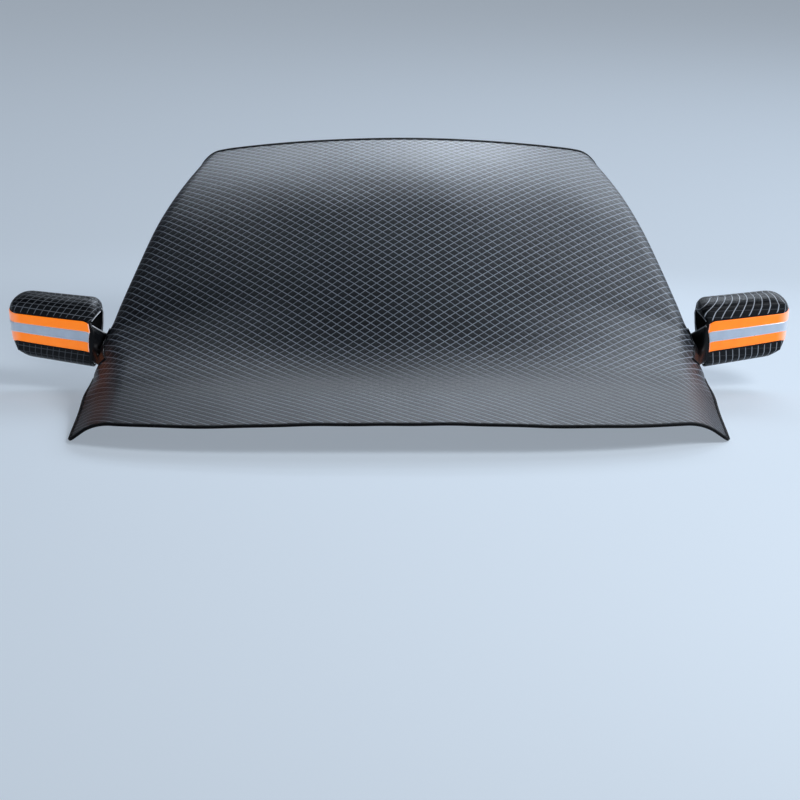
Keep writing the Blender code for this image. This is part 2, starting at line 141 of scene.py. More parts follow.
@dataclass(frozen=True)
class Drape:
    """Shape of the cloth as it lies on the bonnet, the glass, the pillars and the roof's edge."""

    cloth: float = 0.003
    apron_slope: float = radians(5.0)
    foot_slope: float = radians(30.0)
    head_slope: float = radians(26.5)
    roof_slope: float = radians(9.5)
    cowl_start: float = -0.13
    glass_start: float = 0.24
    roof_start: float = 0.68
    roof_end: float = 1.18
    hem_reach: float = 0.442
    hem_sweep: float = 0.155
    hem_curve: float = 4.0
    hem_corner: float = 0.022
    top_reach: float = 1.236
    top_sweep: float = 0.05
    top_corner: float = 0.20
    half_hem: float = 0.866
    half_glass: float = 0.845
    half_head: float = 0.594
    half_bow: float = 0.006
    glass_foot: float = 0.20
    foot_flare: float = 1.3
    apron_crown: float = 10.0
    glass_crown: float = 2.9
    wing_bend: float = 0.14
    pillar_bend: float = 0.060
    wing_turn: float = radians(42.0)
    pillar_turn: float = radians(98.0)
    flank: float = 0.05
    wing_end: float = 0.0
    pillar_start: float = 0.38
    table_start: float = -0.6
    table_end: float = 1.5
    table_step: float = 0.001

    def slope(self, t: np.ndarray) -> np.ndarray:
        """Slope of the centreline.

        Args:
            t: running lengths up the centreline.

        Returns:
            Angles above the horizontal, in radians.
        """
        cowl = ease((t - self.cowl_start) / (self.glass_start - self.cowl_start))
        glass = clamp((t - self.glass_start) / (self.roof_start - self.glass_start))
        roof = ease((t - self.roof_start) / (self.roof_end - self.roof_start))
        return (mix(self.apron_slope, self.foot_slope, cowl)
                - (self.foot_slope - self.head_slope) * glass
                - (self.head_slope - self.roof_slope) * roof)

    def centreline(self, t: np.ndarray) -> tuple[np.ndarray, np.ndarray]:
        """Place of the cloth's middle layer on the centreline.

        Args:
            t: running lengths up the centreline.

        Returns:
            The y and z of each point.
        """
        ends = np.arange(self.table_start, self.table_end, self.table_step)
        angles = self.slope(ends[:-1] + self.table_step / 2.0)
        y = np.concatenate([[0.0], np.cumsum(np.cos(angles) * self.table_step)])
        z = np.concatenate([[0.0], np.cumsum(np.sin(angles) * self.table_step)])
        y -= np.interp(0.0, ends, y)
        z -= np.interp(0.0, ends, z) - self.cloth / 2.0
        return np.interp(t, ends, y), np.interp(t, ends, z)

    def half_width(self, t: np.ndarray) -> np.ndarray:
        """Half of the cover's width.

        Args:
            t: running lengths up the centreline.

        Returns:
            Reach of the widest point on one side.
        """
        low = clamp((t + self.hem_reach) / (self.glass_foot + self.hem_reach))
        up = (t - self.glass_foot) / (self.top_reach - self.glass_foot)
        flare = mix(self.half_hem, self.half_glass, low ** self.foot_flare)
        glass = mix(self.half_glass, self.half_head, up) + self.half_bow * 4.0 * up * (1.0 - up)
        return np.where(t < self.glass_foot, flare, glass)

    def section(self, t: np.ndarray, q: np.ndarray) -> tuple[np.ndarray, np.ndarray, np.ndarray]:
        """Cross-section of the cloth.

        Args:
            t: running lengths up the centreline.
            q: places across one half, 0 or more.

        Returns:
            Reach from the centreline, drop below the crown, and cloth run from the centreline.
        """
        pillar = ease((t - self.wing_end) / (self.pillar_start - self.wing_end))
        crown = 1.0 / mix(1.0 / self.apron_crown, 1.0 / self.glass_crown, pillar)
        bend = mix(self.wing_bend, self.pillar_bend, pillar)
        turn = mix(self.wing_turn, self.pillar_turn, pillar)
        widest = bend * np.sin(np.minimum(turn, pi / 2.0)) + self.flank * np.maximum(np.cos(turn), 0.0)
        start = np.arcsin((self.half_width(t) - widest) / (crown - bend))
        over = start * np.minimum(q, 1.0)
        angle = start + (turn - start) * clamp(q - 1.0)
        straight = self.flank * clamp(q - 2.0)
        reach = (crown * np.sin(over) + bend * (np.sin(angle) - np.sin(start))
                 + straight * np.cos(turn))
        drop = (crown * (1.0 - np.cos(over)) + bend * (np.cos(start) - np.cos(angle))
                + straight * np.sin(turn))
        return reach, drop, crown * over + bend * (angle - start) + straight

    def edge_distance(self, q: np.ndarray) -> np.ndarray:
        """Cloth run out to the flank's edge, measured near the top of the cover.

        Args:
            q: places across one half, 0 or more.

        Returns:
            Run from each place to the edge.
        """
        return (self.flank * (1.0 - clamp(q - 2.0))
                + self.pillar_bend * self.pillar_turn * (1.0 - clamp(q - 1.0))
                + (self.half_head - self.pillar_bend) * (1.0 - clamp(q)))

    def hem(self, q: np.ndarray) -> np.ndarray:
        """Bottom hem, swept back towards its rounded corners.

        Args:
            q: places across one half, 0 or more.

        Returns:
            Running length t of the hem at each place.
        """
        reach, _, _ = self.section(np.full_like(q, -self.hem_reach), q)
        straight = -self.hem_reach + self.hem_sweep * (reach / self.half_hem) ** self.hem_curve
        inside = np.maximum(self.hem_corner - self.edge_distance(q), 0.0)
        return straight + self.hem_corner - np.sqrt(self.hem_corner ** 2 - inside ** 2)

    def top(self, q: np.ndarray) -> np.ndarray:
        """Top edge, with its rounded corner.

        Args:
            q: places across one half, 0 or more.

        Returns:
            Running length t of the top edge at each place.
        """
        reach, _, _ = self.section(np.full_like(q, self.top_reach), q)
        straight = self.top_reach + self.top_sweep * (reach / self.half_head) ** 2
        inside = np.maximum(self.top_corner - self.edge_distance(q), 0.0)
        return straight - self.top_corner + np.sqrt(self.top_corner ** 2 - inside ** 2)

    def spot(self, q: np.ndarray, share: np.ndarray) -> tuple[np.ndarray, np.ndarray, np.ndarray]:
        """Smooth place of the cloth's middle layer.

        Args:
            q: places across, negative on the left.
            share: shares of the way from the hem, 0, to the top edge, 1.

        Returns:
            The points, and the cloth's own coordinates across and along.
        """
        across = np.abs(q)
        t = mix(self.hem(across), self.top(across), share)
        reach, drop, run = self.section(t, across)
        y, z = self.centreline(t)
        angle = self.slope(t)
        side = np.where(q < 0.0, -1.0, 1.0)
        points = np.stack([side * reach, y + drop * np.sin(angle), z - drop * np.cos(angle)], axis=-1)
        return points, side * run, t


@dataclass(frozen=True)
class Folds:
    """Slight unevenness of the laid cloth: slack on the bonnet and pulls at the mirror necks."""

    slack: float = 0.0010
    slack_wave: float = 0.43
    slack_swing: float = 1.4
    swing_wave: float = 0.93
    swing_start: float = 0.6
    swell_wave: float = 0.71
    swell_mean: float = 0.6
    swell_depth: float = 0.4
    ripple: float = 0.0005
    ripple_wave: float = 0.19
    ripple_lean: float = 0.22
    ripple_swing: float = 0.8
    ripple_turn: float = 5.3
    apron_start: float = 0.05
    apron_span: float = 0.30
    pull: float = 0.0016
    pull_wave: float = 0.052
    pull_reach: float = 0.13
    pull_stretch: float = 0.8
    pull_length: float = 0.12
    pull_depth: float = 0.10
    neck_run: float = 0.86
    neck_t: float = 0.27

    def height(self, run: np.ndarray, t: np.ndarray) -> np.ndarray:
        """How far the cloth stands off its smooth shape.

        Args:
            run: cloth coordinates across.
            t: cloth coordinates along.

        Returns:
            Heights along the cloth's outward normal.
        """
        swing = self.slack_swing * np.sin(2.0 * pi * t / self.swing_wave + self.swing_start)
        slack = self.slack * np.sin(2.0 * pi * run / self.slack_wave + swing)
        slack *= self.swell_mean + self.swell_depth * np.sin(2.0 * pi * t / self.swell_wave)
        apron = ease((self.apron_start - t) / self.apron_span)
        lean = 2.0 * pi * (run + self.ripple_lean * t) / self.ripple_wave
        ripple = self.ripple * apron * np.sin(lean + self.ripple_swing * np.sin(self.ripple_turn * run))
        beside = np.abs(run) - self.neck_run
        away = np.hypot(beside, (t - self.neck_t) * self.pull_stretch) / self.pull_reach
        fan = np.arctan2(t - self.neck_t, self.neck_run - np.abs(run) + self.pull_depth)
        pull = self.pull * np.exp(-away ** 2) * np.sin(2.0 * pi * fan * self.pull_length / self.pull_wave)
        return slack + ripple + pull


DRAPE = Drape()
FOLDS = Folds()


def cover_surface(q: np.ndarray, share: np.ndarray) -> tuple[np.ndarray, ...]:
    """Cloth of the cover with its folds.

    Args:
        q: places across, negative on the left.
        share: shares of the way from the hem to the top edge.

    Returns:
        Points, outward normals, and the cloth's own coordinates across and along.
    """
    nudge = 2e-3
    points, run, t = DRAPE.spot(q, share)
    right, left = np.minimum(q + nudge, EDGE_Q), np.maximum(q - nudge, -EDGE_Q)
    upper, lower = np.minimum(share + nudge, 1.0), np.maximum(share - nudge, 0.0)
    across = DRAPE.spot(right, share)[0] - DRAPE.spot(left, share)[0]
    along = DRAPE.spot(q, upper)[0] - DRAPE.spot(q, lower)[0]
    normals = unit(np.cross(across, along))
    return points + normals * FOLDS.height(run, t)[..., None], normals, run, t


class Patchwork:
    """Points, cloth coordinates, marks and faces of one sewn piece, gathered patch by patch."""

    def __init__(self, *marks: str) -> None:
        """Start an empty piece.

        Args:
            marks: names of the values that each point carries.
        """
        self.names = marks
        self.points: list[np.ndarray] = []
        self.cloth: list[np.ndarray] = []
        self.marks: list[np.ndarray] = []
        self.faces: list[np.ndarray] = []
        self.count = 0

    def add(self, points: np.ndarray, cloth: np.ndarray, *marks: np.ndarray) -> np.ndarray:
        """Add a patch of points.

        Args:
            points: points in a grid, three numbers each.
            cloth: cloth coordinates of each point, two numbers each.
            marks: one value per point for each of the piece's marks.

        Returns:
            Numbers of the points, in the same grid.
        """
        shape = points.shape[:-1]
        self.points.append(points.reshape(-1, 3))
        self.cloth.append(cloth.reshape(-1, 2))
        new = self.points[-1].shape[0]
        spread = [np.broadcast_to(mark, shape).ravel() for mark in marks]
        self.marks.append(np.stack(spread, axis=-1) if spread else np.zeros((new, 0)))
        self.count += new
        return np.arange(self.count - new, self.count).reshape(shape)

    def quads(self, numbers: np.ndarray, closed: bool = False) -> None:
        """Add the faces between the rows of a grid of points.

        Args:
            numbers: point numbers in a grid.
            closed: whether the last column joins the first.
        """
        if closed:
            numbers = np.hstack([numbers, numbers[:, :1]])
        corners = (numbers[:-1, :-1], numbers[:-1, 1:], numbers[1:, 1:], numbers[1:, :-1])
        self.faces.append(np.stack([corner.ravel() for corner in corners], axis=-1))

    def make(self, name: str, flip: bool = False, caps: tuple[np.ndarray, ...] = ()) -> bpy.types.Object:
        """Turn what was gathered into an object.

        Args:
            name: name of the new piece.
            flip: whether to turn the faces over.
            caps: rings of point numbers that each close an end.

        Returns:
            The new object, with its cloth coordinates in a UV map named cloth.
        """
        faces = [face.tolist() for group in self.faces for face in group] + [list(cap) for cap in caps]
        if flip:
            faces = [face[::-1] for face in faces]
        data = bpy.data.meshes.new(name)
        data.from_pydata(np.concatenate(self.points).tolist(), [], faces)
        corners = np.zeros(len(data.loops), np.int32)
        data.loops.foreach_get("vertex_index", corners)
        layer = data.uv_layers.new(name="cloth")
        layer.data.foreach_set("uv", np.concatenate(self.cloth)[corners].astype(np.float32).ravel())
        values = np.concatenate(self.marks)
        for index, mark in enumerate(self.names):
            attribute = data.attributes.new(mark, "FLOAT", "POINT")
            attribute.data.foreach_set("value", values[:, index].astype(np.float32))
        data.shade_smooth()
        made = bpy.data.objects.new(name, data)
        bpy.context.scene.collection.objects.link(made)
        return made


def select_only(piece: bpy.types.Object) -> None:
    """Make a piece the one that the operators act on.

    Args:
        piece: object to select and make active.
    """
    bpy.ops.object.select_all(action="DESELECT")
    bpy.context.view_layer.objects.active = piece
    piece.select_set(True)


def thicken(piece: bpy.types.Object, thickness: float, outside: bpy.types.Material,
            inside: bpy.types.Material) -> bpy.types.Object:
    """Give a cloth its thickness, half on each side, and its two faces their finishes.

    Args:
        piece: single-surface cloth whose faces point outwards.
        thickness: thickness of the cloth.
        outside: finish of the outer face and the rim.
        inside: finish of the inner face.

    Returns:
        The same object.
    """
    piece.data.materials.append(outside)
    piece.data.materials.append(inside)
    select_only(piece)
    solid = piece.modifiers.new("thickness", "SOLIDIFY")
    solid.thickness = thickness
    solid.offset = 0.0
    solid.material_offset = 1
    bpy.ops.object.modifier_apply(modifier=solid.name)
    piece.select_set(False)
    return piece


def sweep(name: str, path: np.ndarray, inward: np.ndarray, outward: np.ndarray,
          profile: list[Shares], finish: bpy.types.Material) -> bpy.types.Object:
    """Closed body swept along a path.

    Args:
        name: name of the new piece.
        path: points of the path.
        inward: direction of the profile's first axis at each point.
        outward: direction of the profile's second axis at each point.
        profile: corners of the cross-section, in order.
        finish: material of the piece.

    Returns:
        The new object, whose cloth coordinates run along and round it.
    """
    work = Patchwork()
    shape = np.array(profile)
    rings = (path[:, None, :] + inward[:, None, :] * shape[None, :, :1]
             + outward[:, None, :] * shape[None, :, 1:])
    along = np.repeat(run_length(path)[:, None], len(profile), axis=1)
    around = np.repeat(run_length(shape)[None, :], len(path), axis=0)
    numbers = work.add(rings, np.stack([along, around], axis=-1))
    work.quads(numbers, closed=True)
    made = work.make(name, caps=(numbers[0], numbers[-1][::-1]))
    made.data.materials.append(finish)
    select_only(made)
    bpy.ops.object.mode_set(mode="EDIT")
    bpy.ops.mesh.select_all(action="SELECT")
    bpy.ops.mesh.normals_make_consistent(inside=False)
    bpy.ops.object.mode_set(mode="OBJECT")
    bpy.ops.object.shade_smooth_by_angle(angle=SHARP_ANGLE)
    made.select_set(False)
    return made


@dataclass(frozen=True)
class Stitching:
    """Row of lock stitches: short rounded threads that dip into the cloth at both ends."""

    pitch: float = 0.0046
    length: float = 0.0034
    radius: float = 0.00042
    sides: int = 6

    def sew(self, name: str, path: np.ndarray, outward: np.ndarray,
            finish: bpy.types.Material) -> bpy.types.Object:
        """Lay stitches along a path.

        Args:
            name: name of the new piece.
            path: points on the surface that is sewn.
            outward: outward normals at those points.
            finish: material of the thread.

        Returns:
            One object that holds all the stitches of the row.
        """
        runs = run_length(path)
        starts = np.arange(self.pitch / 2.0, runs[-1] - self.length, self.pitch)
        shares = np.array([0.0, 0.25, 0.75, 1.0])
        rises = np.array([-0.6, 0.5, 0.5, -0.6]) * self.radius
        widths = np.array([0.45, 1.0, 1.0, 0.45]) * self.radius
        places = starts[:, None] + shares[None, :] * self.length
        centre = np.stack([np.interp(places, runs, path[:, axis]) for axis in range(3)], axis=-1)
        normal = unit(np.stack([np.interp(places, runs, outward[:, axis]) for axis in range(3)], axis=-1))
        onward = unit(np.gradient(centre, axis=1))
        beside = unit(np.cross(normal, onward))
        centre = centre + normal * rises[None, :, None]
        turns = np.linspace(0.0, 2.0 * pi, self.sides, endpoint=False)
        ring = (beside[:, :, None, :] * np.cos(turns)[None, None, :, None]
                + normal[:, :, None, :] * np.sin(turns)[None, None, :, None])
        points = centre[:, :, None, :] + ring * widths[None, :, None, None]
        work = Patchwork()
        for stitch in points:
            cloth = np.zeros(stitch.shape[:-1] + (2,))
            numbers = work.add(stitch, cloth)
            work.quads(numbers, closed=True)
            for end, halves in ((0, ([0, 1, 2, 3], [0, 3, 4, 5])), (-1, ([3, 2, 1, 0], [5, 4, 3, 0]))):
                for corners in halves:
                    work.faces.append(numbers[end][corners][None, :])
        made = work.make(name, flip=True)
        made.data.materials.append(finish)
        return made


Value = float | bpy.types.NodeSocket


class Graph:
    """Node tree of one finish, with short ways to add what the finishes share."""

    def __init__(self, name: str) -> None:
        """Start a material with its Principled shader.

        Args:
            name: name of the material.
        """
        self.material = bpy.data.materials.new(name)
        self.material.use_nodes = True
        self.tree = self.material.node_tree
        self.shader = self.tree.nodes["Principled BSDF"]

    def feed(self, socket: bpy.types.NodeSocket, value: Value | Colour) -> None:
        """Link a socket to a node's output, or set it to a number or colour.

        Args:
            socket: input of a node.
            value: what it receives.
        """
        if isinstance(value, bpy.types.NodeSocket):
            self.tree.links.new(value, socket)
        elif isinstance(value, tuple):
            socket.default_value = (*value, 1.0)[:len(socket.default_value)]
        else:
            socket.default_value = value

    def node(self, kind: str, **settings: object) -> bpy.types.Node:
        """Add a node and set its properties.

        Args:
            kind: type of the node.
            settings: its properties.

        Returns:
            The node.
        """
        made = self.tree.nodes.new(kind)
        for name, value in settings.items():
            setattr(made, name, value)
        return made

    def maths(self, operation: str, first: Value, second: Value = 0.0,
              third: Value = 0.0) -> bpy.types.NodeSocket:
        """Add a Math node.

        Args:
            operation: what it works out.
            first: first number.
            second: second number.
            third: third number, for the operations that have one.

        Returns:
            The node's result.
        """
        made = self.node("ShaderNodeMath", operation=operation)
        for socket, value in zip(made.inputs, (first, second, third)):
            self.feed(socket, value)
        return made.outputs[0]

    def remap(self, value: Value, source: Shares, target: Shares) -> bpy.types.NodeSocket:
        """Smoothly map one range of a value to another, held at both ends.

        Args:
            value: number to map.
            source: range that it comes in.
            target: what the ends of that range become.

        Returns:
            The mapped number.
        """
        made = self.node("ShaderNodeMapRange", interpolation_type="SMOOTHSTEP")
        for socket, number in zip(made.inputs, (value, *source, *target)):
            self.feed(socket, number)
        return made.outputs[0]

    def blend(self, share: Value, first: Value | Colour, second: Value | Colour) -> bpy.types.NodeSocket:
        """Mix two colours.

        Args:
            share: 0 for the first colour, 1 for the second.
            first: one colour.
            second: the other colour.

        Returns:
            The mixed colour.
        """
        made = self.node("ShaderNodeMix", data_type="RGBA")
        self.feed(made.inputs[0], share)
        self.feed(made.inputs[6], first)
        self.feed(made.inputs[7], second)
        return made.outputs[2]

    def attribute(self, name: str) -> bpy.types.NodeSocket:
        """Read one of the piece's marks."""
        return self.node("ShaderNodeAttribute", attribute_name=name).outputs["Fac"]

    def cloth(self) -> tuple[bpy.types.NodeSocket, bpy.types.NodeSocket, bpy.types.NodeSocket]:
        """Cloth coordinates of the piece.

        Returns:
            The coordinates as a vector, then across, then along.
        """
        place = self.node("ShaderNodeUVMap", uv_map="cloth").outputs[0]
        parts = self.node("ShaderNodeSeparateXYZ")
        self.feed(parts.inputs[0], place)
        return place, parts.outputs[0], parts.outputs[1]

    def noise(self, place: bpy.types.NodeSocket, size: float,
              detail: float = 2.0) -> bpy.types.NodeSocket:
        """Soft random patches.

        Args:
            place: cloth coordinates.
            size: usual width of a patch, in metres.
            detail: number of finer layers.

        Returns:
            A number between 0 and 1.
        """
        made = self.node("ShaderNodeTexNoise", noise_dimensions="3D")
        self.feed(made.inputs["Vector"], place)
        self.feed(made.inputs["Scale"], 1.0 / size)
        self.feed(made.inputs["Detail"], detail)
        return made.outputs[0]

    def weave(self, across: Value, along: Value, pitch: float) -> bpy.types.NodeSocket:
        """Plain weave of threads that pass over and under each other.

        Args:
            across: cloth coordinate across.
            along: cloth coordinate along.
            pitch: width of two threads.

        Returns:
            Height of the weave, from -1 to 1.
        """
        warp = self.maths("SINE", self.maths("MULTIPLY", across, 2.0 * pi / pitch))
        weft = self.maths("SINE", self.maths("MULTIPLY", along, 2.0 * pi / pitch))
        return self.maths("MULTIPLY", warp, weft)

    def bump(self, height: bpy.types.NodeSocket, strength: float) -> None:
        """Let a height shape the surface.

        Args:
            height: height in metres.
            strength: share of it that shows.
        """
        made = self.node("ShaderNodeBump")
        self.feed(made.inputs["Strength"], strength)
        self.feed(made.inputs["Distance"], 1.0)
        self.feed(made.inputs["Height"], height)
        self.feed(self.shader.inputs["Normal"], made.outputs[0])

    def set(self, **values: Value | Colour) -> None:
        """Set or link the shader's inputs.

        Args:
            values: one for each input, with underscores for the spaces in its name.
        """
        for name, value in values.items():
            self.feed(self.shader.inputs[name.replace("_", " ")], value)


@dataclass(frozen=True)
class LatticeCloth:
    """Dark woven cloth with a lattice of pale raised threads.

    The piece's marks give the strength of each family of threads, which partly carries painted shading and
    sheen, and a warm tint that is a painted reflection.
    """

    name: str
    ground: Colour = (0.0016, 0.0022, 0.0036)
    light_ground: Colour = (0.0140, 0.0172, 0.0235)
    thread: Colour = (0.35, 0.40, 0.48)
    # painted reflection: the warm tint of something nearby, reflected on the cloth by the necks
    warm: Colour = (0.060, 0.028, 0.020)
    pitch: float = 0.0219
    turn: float = radians(45.0)
    core: float = 0.0002
    edge: float = 0.0021
    roughness: float = 0.38
    specular: float = 0.32
    thread_roughness: float = 0.36
    thread_rise: float = 0.0005
    pillow: float = 0.0007
    weave_pitch: float = 0.0013
    weave_depth: float = 0.00007
    sheen: float = 0.015
    sheen_roughness: float = 0.30
    wear_patch: float = 0.035
    wear_detail: float = 3.0
    wear_range: Shares = (0.25, 0.7)
    worn_strength: Shares = (0.72, 1.0)
    grain: float = 0.0032
    cloud: float = 0.16
    grain_share: float = 0.9
    cloud_share: float = 0.3
    tone_range: Shares = (0.46, 0.82)
    gloss_spread: float = 0.10
    relief: float = 0.8

    def family(self, graph: Graph, across: Value, along: Value, angle: float) -> bpy.types.NodeSocket:
        """Distance in metres to the nearest thread of one family.

        Args:
            graph: node tree that the nodes go to.
            across: cloth coordinate across.
            along: cloth coordinate along.
            angle: direction across the threads.

        Returns:
            The distance, from 0 to half the pitch.
        """
        across = graph.maths("MULTIPLY", across, cos(angle) / self.pitch)
        phase = graph.maths("MULTIPLY_ADD", along, sin(angle) / self.pitch, across)
        share = graph.maths("FRACT", graph.maths("ADD", phase, 0.5))
        away = graph.maths("ABSOLUTE", graph.maths("SUBTRACT", share, 0.5))
        return graph.maths("MULTIPLY", away, self.pitch)

    def make(self) -> bpy.types.Material:
        """Build the finish.

        Returns:
            The material.
        """
        graph = Graph(self.name)
        place, across, along = graph.cloth()
        first = self.family(graph, across, along, self.turn)
        second = self.family(graph, across, along, self.turn + pi / 2.0)
        wear = graph.noise(place, self.wear_patch, self.wear_detail)
        worn = graph.remap(wear, self.wear_range, self.worn_strength)
        lines = []
        for distance, mark in ((first, "first_threads"), (second, "second_threads")):
            line = graph.remap(distance, (self.core, self.edge), (1.0, 0.0))
            lines.append(graph.maths("MULTIPLY", line, graph.attribute(mark)))
        threads = graph.maths("MULTIPLY", graph.maths("MAXIMUM", *lines), worn)
        grain = graph.noise(place, self.grain)
        cloudy = graph.noise(place, self.cloud)
        tone = graph.maths("MULTIPLY", grain, self.grain_share)
        tone = graph.maths("MULTIPLY_ADD", cloudy, self.cloud_share, tone)
        ground = graph.blend(graph.remap(tone, self.tone_range, (0.0, 1.0)), self.ground, self.light_ground)
        # painted reflection: warm tint blended into the ground where its mark says
        reflected = graph.blend(graph.attribute("warmth"), ground, self.warm)
        colour = graph.blend(threads, reflected, self.thread)
        weave = graph.weave(across, along, self.weave_pitch)
        gloss = graph.maths("MULTIPLY_ADD", threads, self.thread_roughness - self.roughness, self.roughness)
        gloss = graph.maths("MULTIPLY_ADD", grain, self.gloss_spread, gloss)
        cell = graph.maths("MULTIPLY", graph.maths("MULTIPLY", first, second), 4.0 / self.pitch ** 2)
        height = graph.maths("MULTIPLY", threads, self.thread_rise)
        height = graph.maths("MULTIPLY_ADD", cell, self.pillow, height)
        height = graph.maths("MULTIPLY_ADD", weave, self.weave_depth, height)
        graph.set(Base_Color=colour, Roughness=gloss, Specular_IOR_Level=self.specular,
                  Sheen_Weight=self.sheen, Sheen_Roughness=self.sheen_roughness)
        graph.bump(height, self.relief)
        return graph.material


@dataclass(frozen=True)
class PlainCloth:
    """Plain woven cloth or tape of one colour, with a fine weave and slight wear."""

    name: str
    colour: Colour
    worn_colour: Colour
    roughness: float = 0.7
    weave_pitch: float = 0.0012
    weave_depth: float = 0.0001
    specular: float = 0.25
    sheen: float = 0.1
    sheen_roughness: float = 0.5
    wear_patch: float = 0.02
    wear_detail: float = 3.0
    weave_share: float = 0.12
    tone_range: Shares = (0.35, 0.75)
    gloss_spread: float = 0.12
    relief: float = 0.8

    def make(self) -> bpy.types.Material:
        """Build the finish.

        Returns:
            The material.
        """
        graph = Graph(self.name)
        place, across, along = graph.cloth()
        weave = graph.weave(across, along, self.weave_pitch)
        wear = graph.noise(place, self.wear_patch, self.wear_detail)
        tone = graph.maths("MULTIPLY_ADD", weave, self.weave_share, wear)
        worn = graph.remap(tone, self.tone_range, (0.0, 1.0))
        colour = graph.blend(worn, self.colour, self.worn_colour)
        gloss = graph.maths("MULTIPLY_ADD", wear, self.gloss_spread, self.roughness - self.gloss_spread / 2.0)
        graph.set(Base_Color=colour, Roughness=gloss, Specular_IOR_Level=self.specular,
                  Sheen_Weight=self.sheen, Sheen_Roughness=self.sheen_roughness)
        graph.bump(graph.maths("MULTIPLY", weave, self.weave_depth), self.relief)
        return graph.material


@dataclass(frozen=True)
class ReflectiveTape:
    """Sewn-on reflective tape: a fine woven film or a layer of glass beads, with a painted glow and a painted
    highlight at its outer end.
    """

    name: str
    colour: Colour
    shade: Colour
    bead: float = 0.0012
    depth: float = 0.00006
    roughness: float = 0.36
    # pale colour at the tape's inner end and the silver's long edges, and a painted highlight where the outer
    # end wraps round the pouch
    pale: Colour = (0.80, 0.82, 0.86)
    # painted light: emission that makes the tape glow though it is no lamp
    glow: float = 0.0
    metallic: float = 0.0
    wear_patch: float = 0.03
    wear_detail: float = 3.0
    bead_share: float = 0.25
    tone_range: Shares = (0.35, 0.85)
    tone_share: Shares = (0.0, 0.8)
    border_range: Shares = (0.1, 0.8)
    border_share: Shares = (0.0, 0.85)
    gloss_spread: float = 0.14
    relief: float = 0.6

    def make(self) -> bpy.types.Material:
        """Build the finish.

        Returns:
            The material.
        """
        graph = Graph(self.name)
        place, across, along = graph.cloth()
        beads = graph.node("ShaderNodeTexVoronoi", voronoi_dimensions="2D", feature="F1")
        graph.feed(beads.inputs["Vector"], place)
        graph.feed(beads.inputs["Scale"], 1.0 / self.bead)
        wear = graph.noise(place, self.wear_patch, self.wear_detail)
        tone = graph.maths("MULTIPLY_ADD", beads.outputs[0], self.bead_share, wear)
        shaded = graph.remap(tone, self.tone_range, self.tone_share)
        colour = graph.blend(shaded, self.colour, self.shade)
        # border mark: pale edges, and the painted highlight at the outer end
        border = graph.remap(graph.attribute("border"), self.border_range, self.border_share)
        colour = graph.blend(border, colour, self.pale)
        gloss = graph.maths("MULTIPLY_ADD", wear, self.gloss_spread, self.roughness - self.gloss_spread / 2.0)
        graph.set(Base_Color=colour, Roughness=gloss, Metallic=self.metallic,
                  Emission_Color=self.colour, Emission_Strength=self.glow)
        graph.bump(graph.maths("MULTIPLY", beads.outputs[0], -self.depth), self.relief)
        return graph.material


class Finishes:
    """Materials of the cover, made once."""

    def __init__(self) -> None:
        """Make every finish."""
        self.cover = LatticeCloth("cover_lattice_cloth").make()
        self.pouch = LatticeCloth("pouch_lattice_cloth", (0.0020, 0.0026, 0.0040), (0.006, 0.0075, 0.010),
                                  thread=(0.56, 0.60, 0.67), pitch=0.018, turn=0.0, edge=0.0016,
                                  specular=0.2).make()
        self.lining = PlainCloth("inner_cloth", (0.006, 0.0065, 0.008), (0.014, 0.015, 0.018)).make()
        self.tape = PlainCloth("black_binding_tape", (0.0015, 0.0018, 0.0024), (0.004, 0.0045, 0.0055),
                               roughness=0.7, weave_pitch=0.0010, specular=0.10, sheen=0.0).make()
        self.piping = PlainCloth("grey_piping_cloth", (0.60, 0.63, 0.68), (0.78, 0.81, 0.85),
                                 roughness=0.5, weave_pitch=0.0009, specular=0.4).make()
        self.thread = PlainCloth("sewing_thread", (0.015, 0.016, 0.019), (0.03, 0.032, 0.036),
                                 roughness=0.5, weave_pitch=0.0006, weave_depth=0.00003).make()
        # painted light: both tapes glow through emission, standing in for the brightness that the lamps give
        # them
        self.orange = ReflectiveTape("fluorescent_orange_tape", (1.0, 0.235, 0.012), (0.96, 0.175, 0.008),
                                     glow=0.52).make()
        self.silver = ReflectiveTape("glass_bead_silver_tape", (0.46, 0.54, 0.66), (0.38, 0.45, 0.56),
                                     bead=0.0008, roughness=0.30, metallic=0.35, glow=0.20).make()


